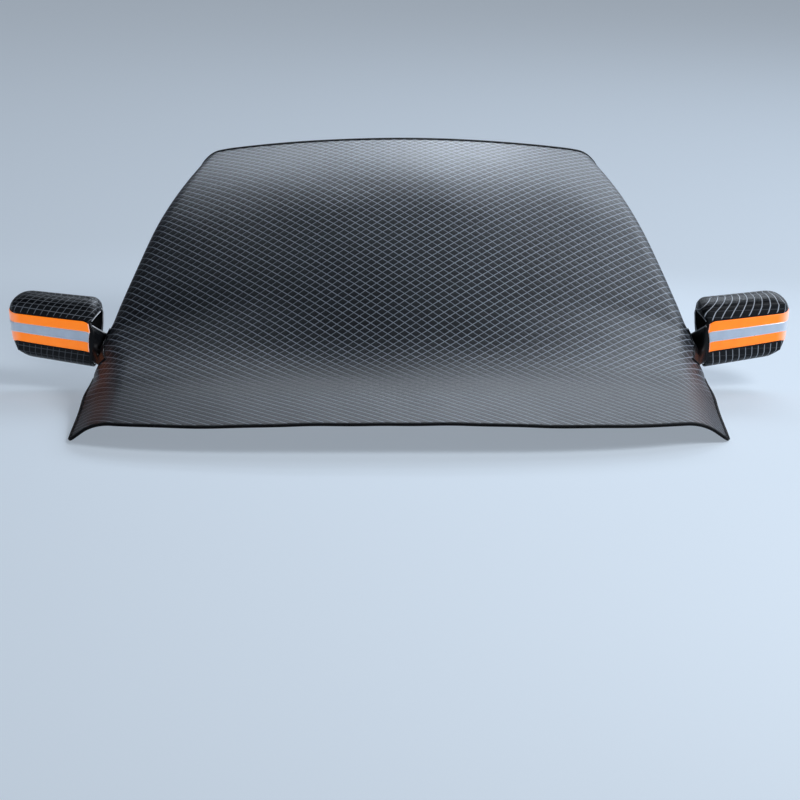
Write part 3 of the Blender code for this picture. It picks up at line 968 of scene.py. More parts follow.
@dataclass
class CoverCloth:
    """The large cloth over the screen, with its black bindings and their stitching."""

    finishes: Finishes
    crown_columns: int = 80
    corner_columns: int = 32
    rows: int = 180
    hem_width: float = 0.009
    edge_width: float = 0.0095
    slot_gap: float = 0.0003
    tape: float = 0.0016
    rim: float = 0.00035
    nose: float = 0.0010
    nose_round: float = 0.0014
    nose_points: int = 9
    stitch_margin: float = 0.0020
    glass_from: float = -0.03
    glass_span: float = 0.14
    # painted sheen: the threads fade in a band across the foot of the glass, where a sheen washes the lattice
    # out
    foot_t: float = -0.10
    foot_span: float = 0.085
    foot_run: float = 0.55
    foot_fade: float = 0.9
    # painted shading and sheen: strength of each thread family on the apron, on the left and on the right,
    # set by how each family catches the light
    apron_threads: Shares = (0.80, 0.08)
    left_threads: Shares = (1.0, 0.45)
    right_threads: Shares = (0.60, 1.0)
    turn_start: Shares = (-0.3, -0.65)
    turn_span: float = 0.9
    # painted reflection: a warm tint by each neck, stronger on the left
    warm_run: float = 0.93
    reflection_t: float = 0.10
    warm_size: Shares = (0.045, 0.12)
    warm_strength: Shares = (0.25, 0.6)
    area_rows: int = 200
    pieces: list[bpy.types.Object] = field(default_factory=list)

    def columns(self) -> np.ndarray:
        """Columns of the sheet, closest together round the top corners.

        Returns:
            Values of q from the left flank's edge to the right one's.
        """
        bend_run = DRAPE.pillar_bend * DRAPE.pillar_turn
        crown = np.linspace(0.0, 1.0, self.crown_columns, endpoint=False)
        widest = np.arccos(1.0 - (DRAPE.flank + bend_run) / DRAPE.top_corner)
        inside = DRAPE.top_corner * (1.0 - np.cos(np.linspace(widest, 0.0, self.corner_columns + 1)))
        corner = np.where(inside <= DRAPE.flank, EDGE_Q - inside / DRAPE.flank,
                          2.0 - (inside - DRAPE.flank) / bend_run)
        half = np.concatenate([crown, corner])
        return np.concatenate([-half[:0:-1], half])

    def thread_strengths(self, run: np.ndarray, t: np.ndarray) -> tuple[np.ndarray, ...]:
        """Strength of the two families of threads, with painted shading and sheen, and the painted warm
        reflection by the necks.

        Args:
            run: cloth coordinates across.
            t: cloth coordinates along.

        Returns:
            First family, second family, and painted warm reflection, from 0 to 1 each.
        """
        glass = ease((t - self.glass_from) / self.glass_span)
        # painted sheen: lattice washed out across the foot of the glass
        foot = np.exp(-((t - self.foot_t) / self.foot_span) ** 2) * np.exp(-(run / self.foot_run) ** 2)
        sheen_washout = 1.0 - self.foot_fade * foot
        # painted shading and sheen: each family's strength turns from its left value to its right value
        # across the cover
        turn = [ease((run - start) / self.turn_span) for start in self.turn_start]
        first, second = (mix(apron, mix(left, right, share), glass) * sheen_washout
                         for apron, left, right, share in zip(
                             self.apron_threads, self.left_threads, self.right_threads, turn))
        across = (np.abs(run) - self.warm_run) / self.warm_size[0]
        along = (t - self.reflection_t) / self.warm_size[1]
        return first, second, np.where(run < 0.0, *self.warm_strength) * np.exp(-across ** 2 - along ** 2)

    def build_cloth(self) -> bpy.types.Object:
        """The draped sheet, from a flat grid whose points are laid on the car's shape.

        Returns:
            The new piece.
        """
        q = self.columns()
        bpy.ops.object.select_all(action="DESELECT")
        bpy.ops.mesh.primitive_grid_add(x_subdivisions=len(q) - 1, y_subdivisions=self.rows, size=2.0)
        piece = bpy.context.object
        piece.name = "cover_cloth"
        data = piece.data
        data.name = "cover_cloth"
        flat = np.zeros(len(data.vertices) * 3)
        data.vertices.foreach_get("co", flat)
        flat = flat.reshape(-1, 3)
        column = np.rint((flat[:, 0] + 1.0) / 2.0 * (len(q) - 1)).astype(int)
        share = (flat[:, 1] + 1.0) / 2.0
        points, _, run, t = cover_surface(q[column], share)
        data.vertices.foreach_set("co", points.ravel())
        corners = np.zeros(len(data.loops), np.int32)
        data.loops.foreach_get("vertex_index", corners)
        data.uv_layers[0].name = "cloth"
        cloth = np.stack([run, t], axis=-1)
        data.uv_layers[0].data.foreach_set("uv", cloth[corners].astype(np.float32).ravel())
        names = ("first_threads", "second_threads", "warmth")
        for name, values in zip(names, self.thread_strengths(run, t)):
            data.attributes.new(name, "FLOAT", "POINT").data.foreach_set("value", values.astype(np.float32))
        data.update()
        bpy.ops.object.shade_smooth()
        return thicken(piece, DRAPE.cloth, self.finishes.cover, self.finishes.lining)

    def tape_profile(self, width: float) -> list[Shares]:
        """Cross-section of a tape folded over the cloth's edge.

        Args:
            width: reach of the tape from the edge inwards.

        Returns:
            Corners as depth inwards and height outwards.
        """
        slot = DRAPE.cloth / 2.0 + self.slot_gap
        outer = slot + self.tape
        nose = [(-self.nose - self.nose_round * sin(angle), outer * cos(angle))
                for angle in np.linspace(0.0, pi, self.nose_points)]
        top = [(width, slot), (width, outer - self.rim), (width - self.rim, outer)]
        bottom = [(width - self.rim, -outer), (width, self.rim - outer), (width, -slot)]
        return top + nose + bottom + [(-self.nose / 2.0, -slot), (-self.nose / 2.0, slot)]

    def border(self) -> tuple[tuple[np.ndarray, np.ndarray], tuple[np.ndarray, np.ndarray]]:
        """The cloth's edge.

        Returns:
            Points and normals along the hem, then up one flank, along the top and down the other.
        """
        q = self.columns()
        hem = cover_surface(q, np.zeros_like(q))[:2]
        share = np.linspace(0.0, 1.0, self.rows + 1)
        start = self.hem_width / 2.6
        rising = np.concatenate([[start], share[share > start * 1.5]])[:-1]
        way_q = np.concatenate([np.full_like(rising, EDGE_Q), q[::-1], np.full_like(rising, -EDGE_Q)])
        way_share = np.concatenate([rising, np.ones_like(q), rising[::-1]])
        edge = cover_surface(way_q, way_share)[:2]
        return hem, edge

    def build_tape(self, name: str, path: np.ndarray, normals: np.ndarray, width: float) -> None:
        """Folded tape along part of the border, with a row of stitches near its inner edge.

        Args:
            name: name of the tape.
            path: points along the cloth's edge.
            normals: outward normals at those points.
            width: reach of the tape from the edge inwards.
        """
        inward = unit(np.cross(normals, travel(path)))
        tape = sweep(name, path, inward, normals, self.tape_profile(width), self.finishes.tape)
        height = DRAPE.cloth / 2.0 + self.slot_gap + self.tape
        row = path + inward * (width - self.stitch_margin) + normals * height
        thread = Stitching().sew(name + "_stitches", row, normals, self.finishes.thread)
        self.pieces += [tape, thread]

    def build(self) -> None:
        """Build the cloth and its bindings, and hide the CAD parts that they replace."""
        cloth = self.build_cloth()
        (hem, hem_normals), (edge, edge_normals) = self.border()
        self.build_tape("hem_tape", hem, hem_normals, self.hem_width)
        self.build_tape("edge_tape", edge, edge_normals, self.edge_width)
        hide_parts("windscreen_panel")
        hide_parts("hem_binding")
        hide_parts("edge_binding")
        self.pieces.insert(0, cloth)
        self.flat_area()

    def flat_area(self) -> float:
        """Area of the cut cloth, from small faces of its middle layer.

        Returns:
            The area in square metres.
        """
        share = np.linspace(0.0, 1.0, self.area_rows)
        q = self.columns()
        grid_q, grid_share = np.meshgrid(q, share)
        points = DRAPE.spot(grid_q, grid_share)[0]
        left, right = points[1:, :-1], points[:-1, 1:]
        halves = [np.cross(left - corner, right - corner) for corner in (points[:-1, :-1], points[1:, 1:])]
        return float(sum(np.linalg.norm(half, axis=-1).sum() for half in halves) / 2.0)


@dataclass
class Pouch:
    """Mirror pouch of one side: two domed halves, its neck, piping and reflective tapes."""

    side: Side
    finishes: Finishes
    length: float = 0.245
    depth: float = 0.135
    mouth_height: float = 0.186
    end_height: float = 0.171
    inset: float = 0.024
    dome: float = 0.008
    top_round: float = 0.058
    bottom_round: float = 0.060
    mouth_round: float = 0.028
    end_lean: float = 0.24
    seam_lip: float = 0.006
    seam_gap: float = 0.0004
    notch: float = 0.014
    notch_peak: float = 0.3
    notch_span: float = 0.7
    back_cut: float = 0.008
    mouth_t: float = 0.26
    out: float = 0.0062
    back: float = 0.402
    lift: float = 0.0275
    rise: float = radians(6.2)
    sweep: float = radians(7.0)
    neck_share: float = 0.9
    neck_lead: float = 0.006
    neck_before: float = 0.9
    neck_beyond: float = 0.045
    lap_q: Shares = (1.0 + 4.0 / 7.0, 1.0 + 6.0 / 7.0)
    lap_foot: float = 0.18
    lap_rows: float = 80.0
    lap_span: float = 10.0
    lap_lift: float = 0.0033
    piping: float = 0.0021
    piping_clear: float = 0.0004
    piping_sides: int = 12
    piping_aside: float = 0.05
    top_lie: float = 0.22
    wrap_start: float = 0.03
    wrap_round: float = 0.014
    left_wrap: float = 0.42
    left_rise: float = 0.10
    left_tilt: float = -0.02
    right_tilt: float = 0.10
    fan: float = 1.1
    fan_reach: float = 0.9
    fan_late: float = 0.5
    fan_late_start: float = 0.04
    cell_width: float = 0.94
    cell_narrowing: float = 0.32
    narrowing_start: float = -0.04
    narrowing_span: float = 0.09
    # painted shading: per side, the two thread families' strengths and the share kept on the lower half; the
    # left pouch's threads are dimmed for less light, and on the right one family fades where it does not
    # catch the light
    left_threads: tuple[float, float, float] = (0.36, 0.36, 0.45)
    right_threads: tuple[float, float, float] = (1.0, 0.10, 0.65)
    tape_band: float = 0.325
    tape_band_fade: float = 0.03
    neck_clear: float = 0.004
    neck_clear_fade: float = 0.008
    # painted reflection: warm tint on the neck's lower part
    neck_warmth: float = 0.3
    neck_warm_row: float = 0.15
    neck_warm_size: Shares = (0.3, 0.6)
    neck_cloth: Shares = (0.9, 0.2)
    neck_cloth_size: Shares = (0.06, 0.14)
    tape_hollow: Shares = (0.036, 0.020)
    tape_reach: float = 0.3
    tape_clear: float = 0.0003
    orange_rows: Shares = (0.2, 0.8)
    orange_steps: int = 25
    orange_lift: float = 0.0003
    silver_rows: Shares = (0.395, 0.605)
    silver_steps: int = 10
    silver_lift: float = 0.0011
    tape_columns: int = 60
    tape_wrap: int = 10
    tape_end: float = 0.72
    # painted highlight: the tape pales over its last columns, where it wraps round the pouch's outer end
    tape_fade: int = 18
    tape_pale: float = 0.75
    tape_thickness: float = 0.0006
    rows: int = 40
    columns: int = 44
    rings: int = 12
    neck_steps: int = 14
    lap_steps: int = 8
    pieces: list[bpy.types.Object] = field(default_factory=list)

    def world(self, x: np.ndarray, y: np.ndarray, z: np.ndarray) -> np.ndarray:
        """Points of the pouch's own frame in the cover's frame, mirrored for the left pouch.

        Args:
            x: places outwards from the mouth.
            y: places towards the car's rear.
            z: heights.

        Returns:
            The points.
        """
        turn = np.array(Euler((0.0, -self.rise, self.sweep)).to_matrix())
        lean = self.end_lean * z * (x / self.length) ** 2
        local = np.stack(np.broadcast_arrays(x + lean, y, z), axis=-1)
        mouth = np.array([float(DRAPE.half_width(self.mouth_t)) + self.out, self.back, self.lift])
        return (local @ turn.T + mouth) * np.array([self.side.value, 1.0, 1.0])

    def half_height(self, x: np.ndarray) -> np.ndarray:
        """Half of the pouch's height at x."""
        return mix(self.mouth_height, self.end_height, x / self.length) / 2.0

    def mouth_drop(self, x: np.ndarray) -> np.ndarray:
        """Drop of the upper edge where it rounds off into the mouth."""
        inside = clamp(1.0 - x / self.mouth_round) * self.mouth_round
        return self.mouth_round - np.sqrt(self.mouth_round ** 2 - inside ** 2)

    def outline(self, row: float, column: float) -> Shares:
        """Seam outline for a point on the face's border, in the pouch's own frame.

        Args:
            row: share of the way up the face.
            column: share of the way from the mouth to the outer end.

        Returns:
            The x and z of the point on the seam.
        """
        end = self.length
        if row in (0.0, 1.0):
            rounding = self.top_round if row == 1.0 else self.bottom_round
            travelled = column * ((end - rounding) + rounding * pi / 4.0)
            along = min(travelled, end - rounding)
            angle = max(travelled - (end - rounding), 0.0) / rounding
            x = along + rounding * sin(angle)
            z = self.half_height(x) - rounding * (1.0 - cos(angle))
            return x, float(z - self.mouth_drop(x)) if row == 1.0 else -z
        low = -self.half_height(end) + self.bottom_round
        high = self.half_height(end) - self.top_round
        lower_arc = self.bottom_round * pi / 4.0
        travelled = row * (lower_arc + high - low + self.top_round * pi / 4.0)
        if travelled < lower_arc:
            angle = pi / 4.0 + travelled / self.bottom_round
            return end - self.bottom_round * (1.0 - sin(angle)), low - self.bottom_round * cos(angle)
        if travelled <= lower_arc + high - low:
            return end, low + travelled - lower_arc
        angle = (travelled - lower_arc - high + low) / self.top_round
        return end - self.top_round * (1.0 - cos(angle)), high + self.top_round * sin(angle)

    def shell(self, row: float, column: float, ring: float, half: Half) -> tuple[np.ndarray, Place]:
        """Point on one half of the pouch.

        Args:
            row: share of the way up the face.
            column: share of the way from the mouth to the outer end.
            ring: 0 on the face, 1 where the wall meets the seam, above 1 at the seam's edge.
            half: front or back.

        Returns:
            The point, and its cloth coordinates outwards and upwards with its height up the rounding.
        """
        x = column * (self.length - self.inset)
        reach = float(self.half_height(x)) - self.inset
        z = mix(-reach, reach - float(self.mouth_drop(x)), row)
        flat_x, flat_z = x, z
        half_depth = self.depth / 2.0
        if ring == 0.0:
            swell = self.dome * (1.0 - (2.0 * row - 1.0) ** 2) * (1.0 - column ** 4)
            depth = half_depth + swell
        else:
            rim_x, rim_z = self.outline(row, column)
            angle = min(ring, 1.0) * pi / 2.0
            away = sqrt((rim_x - x) ** 2 + (rim_z - z) ** 2)
            wrap = angle * (away + half_depth) / 2.0 / max(away, 1e-9)
            flat_x = x + (rim_x - x) * wrap
            flat_z = z + (rim_z - z) * wrap
            x = mix(x, rim_x, sin(angle))
            z = mix(z, rim_z, sin(angle))
            depth = self.seam_lip + (half_depth - self.seam_lip) * cos(angle)
        if ring > 1.0:
            depth = self.seam_gap / 2.0
        fade = (1.0 - column) ** 3
        if half is Half.BACK:
            x += self.back_cut * fade
        else:
            neck_reach = float(self.half_height(0.0)) - self.inset
            neck_top = mix(-neck_reach, neck_reach - float(self.mouth_drop(0.0)), self.neck_share)
            mouth_top = float(self.half_height(0.0) - self.mouth_drop(0.0))
            height = (z - neck_top) / (mouth_top - neck_top)
            x += self.notch * fade * float(clamp(1.0 - abs(height - self.notch_peak) / self.notch_span))
        rise = z + self.top_lie * (half_depth - depth)
        return self.world(x, half.value * depth, z), (flat_x, flat_z, rise)

    def cloth_place(self, flat: Place) -> Shares:
        """Cloth coordinates whose thread families follow the way that this pouch was cut.

        Args:
            flat: cloth coordinates outwards and upwards, and height up the rounding.

        Returns:
            The coordinates that the lattice is laid on.
        """
        x, z, rise = flat
        past = rise - self.wrap_start
        above = (past + sqrt(past ** 2 + self.wrap_round ** 2)) / 2.0
        if self.side is Side.LEFT:
            return x + self.left_wrap * above + self.left_rise * rise, z + self.left_tilt * x
        lean = self.fan * (1.0 - (x / (self.fan_reach * self.length)) ** 2)
        narrowing = float(ease((rise - self.narrowing_start) / self.narrowing_span))
        wide = self.cell_width - self.cell_narrowing * narrowing
        late = max(above - self.fan_late_start, 0.0)
        return wide * (x - (above + self.fan_late * late) * lean), z + self.right_tilt * x

    def threads(self, cell: Place, flat: Place, half: Half) -> Shares:
        """Strength of the two thread families, with painted shading by side; none round the front's tape or
        by the neck.

        Args:
            cell: row, column and ring of the point.
            flat: its cloth coordinates outwards and upwards, and height up the rounding.
            half: front or back.

        Returns:
            First and second family, from 0 to 1.
        """
        row, column, _ = cell
        shown = 1.0
        if half is Half.FRONT:
            if row < self.neck_share:
                shown = float(ease((flat[0] - self.neck_clear) / self.neck_clear_fade))
            if column < 1.0 or row in (0.0, 1.0):
                shown *= float(ease((abs(row - 0.5) - self.tape_band) / self.tape_band_fade))
        # painted shading: the side's thread strengths, weaker on the lower half
        first, second, low = self.left_threads if self.side is Side.LEFT else self.right_threads
        if row < 0.5:
            shown *= low
        return first * shown, second * shown

    def patch(self, work: Patchwork, cells: list[list[Place]], half: Half) -> np.ndarray:
        """Add a grid of shell points to a piece.

        Args:
            work: piece that the points go to.
            cells: rows of cells, each with its row, column and ring.
            half: front or back.

        Returns:
            Numbers of the points.
        """
        points, cloth, first, second = [], [], [], []
        for row in cells:
            for cell in row:
                point, flat = self.shell(*cell, half)
                points.append(point)
                cloth.append(self.cloth_place(flat))
                strengths = self.threads(cell, flat, half)
                first.append(strengths[0])
                second.append(strengths[1])
        shape = (len(cells), len(cells[0]))
        return work.add(np.array(points).reshape(*shape, 3), np.array(cloth).reshape(*shape, 2),
                        np.array(first).reshape(shape), np.array(second).reshape(shape), 0.0)

    def border(self) -> list[Shares]:
        """Border of the face, from the mouth's top round the end to its bottom.

        Returns:
            Row and column of each cell.
        """
        upper = [(1.0, column / self.columns) for column in range(self.columns)]
        outer = [(row / self.rows, 1.0) for row in range(self.rows, -1, -1)]
        lower = [(0.0, column / self.columns) for column in range(self.columns - 1, -1, -1)]
        return upper + outer + lower

    def lap(self, row: np.ndarray, step: np.ndarray) -> tuple[np.ndarray, ...]:
        """Lap on the cover's flank.

        Args:
            row: shares of the way up the face.
            step: 0 at the lap's inner edge and 1 at the neck.

        Returns:
            Points, normals and the cover's cloth coordinates.
        """
        q = np.array([self.lap_q[0]])
        foot = (self.lap_foot - DRAPE.hem(q)) / (DRAPE.top(q) - DRAPE.hem(q))
        share = (np.rint(foot * self.lap_rows) + row * self.lap_span) / self.lap_rows
        across = self.side.value * mix(self.lap_q[0], self.lap_q[1], step)
        points, normals, run, t = cover_surface(across, share)
        return points + normals * self.lap_lift, normals, run, t

    def neck(self, row: np.ndarray, step: np.ndarray) -> np.ndarray:
        """Neck between the lap and the mouth.

        Args:
            row: shares of the way up the face.
            step: 0 at the end of the lap and 1 at the mouth.

        Returns:
            Points on a smooth path that leaves along the lap and arrives along the face.
        """
        root = self.lap(row, np.ones_like(row))[0]
        leave = unit(root - self.lap(row, np.full_like(row, self.neck_before))[0]) * self.neck_lead
        mouth = np.array([self.shell(value, 0.0, 0.0, Half.FRONT)[0] for value in row.ravel()])
        beyond = np.array([self.shell(value, self.neck_beyond, 0.0, Half.FRONT)[0]
                           for value in row.ravel()])
        mouth = mouth.reshape(root.shape)
        arrive = unit(beyond.reshape(root.shape) - mouth) * self.neck_lead
        square = (step * step)[..., None]
        cube = square * step[..., None]
        return (root * (2.0 * cube - 3.0 * square + 1.0) + leave * (cube - 2.0 * square + step[..., None])
                + mouth * (3.0 * square - 2.0 * cube) + arrive * (cube - square))

    def build_half(self, half: Half) -> bpy.types.Object:
        """One half of the pouch; the front has the neck and its lap as one cloth with it.

        Args:
            half: front or back.

        Returns:
            The new piece.
        """
        work = Patchwork("first_threads", "second_threads", "warmth")
        cells = [[(row / self.rows, column / self.columns, 0.0) for column in range(self.columns + 1)]
                 for row in range(self.rows + 1)]
        face = self.patch(work, cells, half)
        work.quads(face)
        steps = [ring / self.rings for ring in range(1, self.rings + 1)] + [1.1]
        rings = self.patch(work, [[(*cell, ring) for cell in self.border()] for ring in steps], half)
        first = [face[round(row * self.rows), round(column * self.columns)] for row, column in self.border()]
        work.quads(np.vstack([first, rings]))
        if half is Half.FRONT:
            count = round(self.neck_share * self.rows) + 1
            row = np.arange(count) / self.rows
            steps = np.linspace(0.0, 1.0, self.lap_steps, endpoint=False)
            points, _, run, t = self.lap(*np.meshgrid(row, steps, indexing="ij"))
            lap = work.add(points, np.stack([run, t], axis=-1), 0.0, 0.0, 0.0)
            steps = np.linspace(0.0, 1.0, self.neck_steps, endpoint=False)
            up, out = np.meshgrid(row, steps, indexing="ij")
            places = zip(self.neck_cloth, self.neck_cloth_size, (out, up))
            cloth = np.stack([start + size * share for start, size, share in places], axis=-1)
            # painted reflection: warm tint on the neck's lower part
            above, beyond = (up - self.neck_warm_row) / self.neck_warm_size[0], out / self.neck_warm_size[1]
            warmth = self.neck_warmth * np.exp(-above ** 2 - beyond ** 2)
            neck = work.add(self.neck(up, out), cloth, 0.0, 0.0, warmth)
            work.quads(np.hstack([lap, neck, face[:count, :1]]))
        name = f"pouch_{half.word}_cloth_{self.side.word}"
        piece = work.make(name, flip=self.side.value * half.value > 0)
        return thicken(piece, DRAPE.cloth, self.finishes.pouch, self.finishes.lining)

    def build_piping(self, half: Half) -> bpy.types.Object:
        """Round piping along one half's mouth, just clear of the cloth's edge.

        Args:
            half: front or back.

        Returns:
            The new piece.
        """
        ring_steps = [ring / self.rings for ring in range(self.rings - 1, 0, -1)]
        last = 0 if half is Half.BACK else round(self.neck_share * self.rows)
        places = [(1.0, ring) for ring in ring_steps]
        places += [(row / self.rows, 0.0) for row in range(self.rows, last - 1, -1)]
        if half is Half.BACK:
            places += [(0.0, ring) for ring in reversed(ring_steps)]
        path = [self.shell(row, 0.0, ring, half)[0] for row, ring in places]
        beside = [self.shell(row, 1.0 / self.columns, ring, half)[0] for row, ring in places]
        if half is Half.FRONT:
            steps = np.linspace(1.0, 0.0, self.neck_steps + 1)[1:]
            path += list(self.neck(np.full_like(steps, self.neck_share), steps))
            beside += list(self.neck(np.full_like(steps, self.neck_share - self.piping_aside), steps))
        line = np.array(path)
        onward = travel(line)
        inward = np.array(beside) - line
        inward = unit(inward - onward * (inward * onward).sum(axis=1, keepdims=True))
        line = line - inward * (self.piping + self.piping_clear)
        angles = np.linspace(0.0, 2.0 * pi, self.piping_sides, endpoint=False)
        profile = [(self.piping * cos(angle), self.piping * sin(angle)) for angle in angles]
        name = f"{'mouth' if half is Half.FRONT else 'back'}_piping_cloth_{self.side.word}"
        return sweep(name, line, inward, np.cross(onward, inward), profile, self.finishes.piping)

    def strip(self, rows: Shares, steps: int, level: float) -> tuple[np.ndarray, np.ndarray, np.ndarray]:
        """Grid of points for a tape on the front face.

        Args:
            rows: lowest and highest share up the face.
            steps: points up the strip.
            level: height above the middle of the pouch's cloth.

        Returns:
            Points, normals and cloth coordinates.
        """
        points, cloth = [], []
        for row in np.linspace(*rows, steps):
            hollow = self.tape_hollow[0] + self.tape_hollow[1] * (1.0 - ((row - 0.5) / self.tape_reach) ** 2)
            cells = [(row, column, 0.0) for column in np.linspace(hollow, 1.0, self.tape_columns)]
            cells += [(row, 1.0, ring) for ring in np.linspace(0.0, self.tape_end, self.tape_wrap + 1)[1:]]
            made = [self.shell(*cell, Half.FRONT) for cell in cells]
            points.append([point for point, _ in made])
            cloth.append([flat for _, flat in made])
        grid = np.array(points)
        normals = unit(np.cross(np.gradient(grid, axis=1), np.gradient(grid, axis=0))) * self.side.value
        return grid + normals * level, normals, np.array(cloth)[..., :2]

    def build_tape(self, name: str, node: str, rows: Shares, steps: int, level: float,
                   finish: bpy.types.Material, slot: str) -> None:
        """One reflective strip with rows of stitches along its two long edges.

        Args:
            name: name of the piece, without its side.
            node: name of the CAD node that it stands for, without its side.
            rows: lowest and highest share up the face.
            steps: points up the strip.
            level: height above the middle of the pouch's cloth.
            finish: material of the strip and its stitches.
            slot: kind of tape; silver also marks the strip's long edges.
        """
        grid, normals, cloth = self.strip(rows, steps, level)
        border = np.zeros(grid.shape[:2])
        # painted highlight at the outer end; pale inner end and, for the silver tape, pale long edges
        border[:, -self.tape_fade:] = np.linspace(0.0, self.tape_pale, self.tape_fade)
        border[:, 0] = 1.0
        if slot == "silver":
            border[[0, -1]] = 1.0
        work = Patchwork("border")
        work.quads(work.add(grid, cloth, border))
        piece = work.make(f"{name}_{self.side.word}", flip=self.side is Side.LEFT)
        thicken(piece, self.tape_thickness, finish, finish)
        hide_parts(f"{node}_{self.side.word}")
        self.pieces.append(piece)
        stitching = Stitching(pitch=0.0040, length=0.0028, radius=0.0003)
        for word, index in (("low", 1), ("high", -2)):
            path = grid[index] + normals[index] * self.tape_thickness * 0.6
            thread = f"{name}_stitches_{word}_{self.side.word}"
            self.pieces.append(stitching.sew(thread, path, normals[index], finish))

    def build(self) -> None:
        """Build the pouch, and hide the CAD parts that its pieces replace."""
        for half in Half:
            cloth = self.build_half(half)
            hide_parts(f"pouch_{half.word}_{self.side.word}")
            piping = self.build_piping(half)
            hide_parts(f"{'mouth' if half is Half.FRONT else 'back'}_piping_{self.side.word}")
            self.pieces += [cloth, piping]
        surface = DRAPE.cloth / 2.0 + self.tape_clear
        self.build_tape("orange_tape", "reflective_orange", self.orange_rows, self.orange_steps,
                        surface + self.orange_lift, self.finishes.orange, "orange")
        self.build_tape("silver_tape", "reflective_silver", self.silver_rows, self.silver_steps,
                        surface + self.silver_lift, self.finishes.silver, "silver")


@dataclass(frozen=True)
class SoftLight:
    """Rectangular light that faces a place on the cover."""

    name: str
    place: Place
    size: Shares
    power: float
    colour: Colour = (0.80, 0.89, 1.0)
    aim: Place = (0.0, 0.3, 0.15)
    spread: float = pi

    def build(self) -> None:
        """Add the light to the scene."""
        data = bpy.data.lights.new(self.name, "AREA")
        data.shape = "RECTANGLE"
        data.size, data.size_y = self.size
        data.energy = self.power
        data.color = self.colour
        data.spread = self.spread
        light = bpy.data.objects.new(self.name, data)
        light.location = self.place
        light.rotation_euler = (Vector(self.aim) - Vector(self.place)).to_track_quat("-Z", "Y").to_euler()
        bpy.context.scene.collection.objects.link(light)


LIGHTS = (
    SoftLight("key", (4.0, -2.8, 3.9), (2.4, 2.4), 245.0, (0.94, 0.97, 1.0)),
    SoftLight("fill", (-3.4, -4.0, 3.0), (3.0, 2.4), 5.0),
    SoftLight("back", (3.0, 6.6, 4.9), (4.6, 1.2), 110.0),
    SoftLight("right", (4.6, 2.6, 3.6), (2.6, 2.6), 80.0),
    SoftLight("roof_edge", (1.0, 2.5, 1.32), (2.2, 0.5), 6.0,
              aim=(0.3, 1.05, 0.45), spread=radians(100.0)),
    SoftLight("roof_left", (-0.20, 1.85, 0.92), (1.3, 0.15), 1.3,
              aim=(-0.20, 1.08, 0.43), spread=radians(75.0)),
)


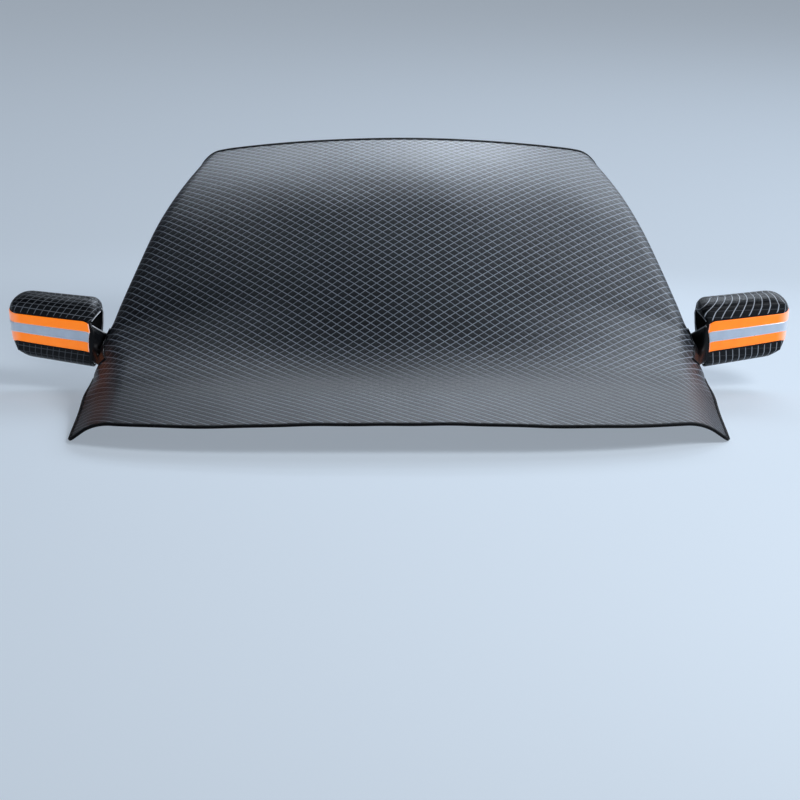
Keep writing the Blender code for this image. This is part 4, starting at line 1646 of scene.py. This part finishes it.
@dataclass
class Studio:
    """Pale floor, surroundings, soft lights and the camera."""

    floor_height: float
    floor_size: float = 120.0
    floor_centre: float = 20.0
    floor_roughness: float = 0.9
    camera_place: Place = (0.0, -8.92, 1.917)
    camera_pitch: float = radians(12.6)
    focal_pixels: float = 3404.0
    frame_pixels: float = 800.0
    shift_pixels: float = 1.0
    sensor: float = 36.0
    floor_colour: Colour = (0.46, 0.52, 0.58)
    floor_glow: Colour = (0.70, 0.80, 0.92)
    glow: float = 0.40
    sky: tuple[tuple[float, Colour], ...] = (
        (0.0, (0.60, 0.68, 0.80)), (0.42, (0.62, 0.70, 0.82)), (0.62, (0.16, 0.18, 0.22)),
        (0.85, (0.035, 0.04, 0.05)))
    sky_strength: float = 0.27
    sky_lean: float = 0.28

    def build_floor(self) -> None:
        """Wide plain floor under the cover."""
        bpy.ops.object.select_all(action="DESELECT")
        centre = (0.0, self.floor_centre, self.floor_height)
        bpy.ops.mesh.primitive_plane_add(size=self.floor_size, location=centre)
        floor = bpy.context.object
        floor.name = "studio_floor"
        graph = Graph("pale_floor")
        graph.set(Base_Color=self.floor_colour, Roughness=self.floor_roughness,
                  Emission_Color=self.floor_glow, Emission_Strength=self.glow)
        floor.data.materials.append(graph.material)
        floor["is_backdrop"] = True

    def build_world(self) -> None:
        """Surroundings that are pale low down and dark overhead, and brighter to the right."""
        world = bpy.data.worlds.new("studio")
        bpy.context.scene.world = world
        world.use_nodes = True
        tree = world.node_tree
        place = tree.nodes.new("ShaderNodeTexCoord")
        parts = tree.nodes.new("ShaderNodeSeparateXYZ")
        ramp = tree.nodes.new("ShaderNodeValToRGB")
        tree.links.new(place.outputs["Generated"], parts.inputs[0])
        tree.links.new(parts.outputs[2], ramp.inputs[0])
        elements = ramp.color_ramp.elements
        elements.remove(elements[0])
        elements[0].position = self.sky[0][0]
        elements[0].color = (*self.sky[0][1], 1.0)
        for position, colour in self.sky[1:]:
            elements.new(position).color = (*colour, 1.0)
        tree.links.new(ramp.outputs[0], tree.nodes["Background"].inputs[0])
        strength = tree.nodes.new("ShaderNodeMath")
        strength.operation = "MULTIPLY_ADD"
        strength.inputs[1].default_value = self.sky_lean
        strength.inputs[2].default_value = self.sky_strength
        tree.links.new(parts.outputs[0], strength.inputs[0])
        tree.links.new(strength.outputs[0], tree.nodes["Background"].inputs[1])

    def build_camera(self) -> None:
        """Camera at the photograph's viewing angle."""
        data = bpy.data.cameras.new("camera")
        data.sensor_width = self.sensor
        data.lens = self.focal_pixels / self.frame_pixels * data.sensor_width
        data.shift_x = self.shift_pixels / self.frame_pixels
        camera = bpy.data.objects.new("camera", data)
        camera.location = self.camera_place
        camera.rotation_euler = (pi / 2.0 - self.camera_pitch, 0.0, 0.0)
        bpy.context.scene.collection.objects.link(camera)
        bpy.context.scene.camera = camera
        bpy.context.scene.view_settings.view_transform = "Standard"

    def build(self) -> None:
        """Build the whole studio."""
        self.build_floor()
        self.build_world()
        for light in LIGHTS:
            light.build()
        self.build_camera()


def report(name: str, pieces: list[bpy.types.Object]) -> None:
    """Say in the log how large each piece is.

    Args:
        name: sub-assembly.
        pieces: its pieces.
    """
    for piece in pieces:
        data = piece.data
        log.info("%s: %s, %d points, %d faces", name, piece.name, len(data.vertices), len(data.polygons))


def main() -> None:
    """Build the cover and its studio."""
    logging.basicConfig(level=logging.INFO, format="%(message)s")
    finishes = Finishes()
    cover = CoverCloth(finishes)
    cover.build()
    report("cover", cover.pieces)
    pouches = [Pouch(side, finishes) for side in Side]
    for pouch in pouches:
        pouch.build()
        report("pouch " + pouch.side.word, pouch.pieces)
    for piece in cover.pieces + pouches[0].pieces + pouches[1].pieces:
        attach(piece, "root")
    Studio(floor_height=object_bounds()[0].z - FLOOR_GAP).build()


if __name__ == "__main__":
    main()
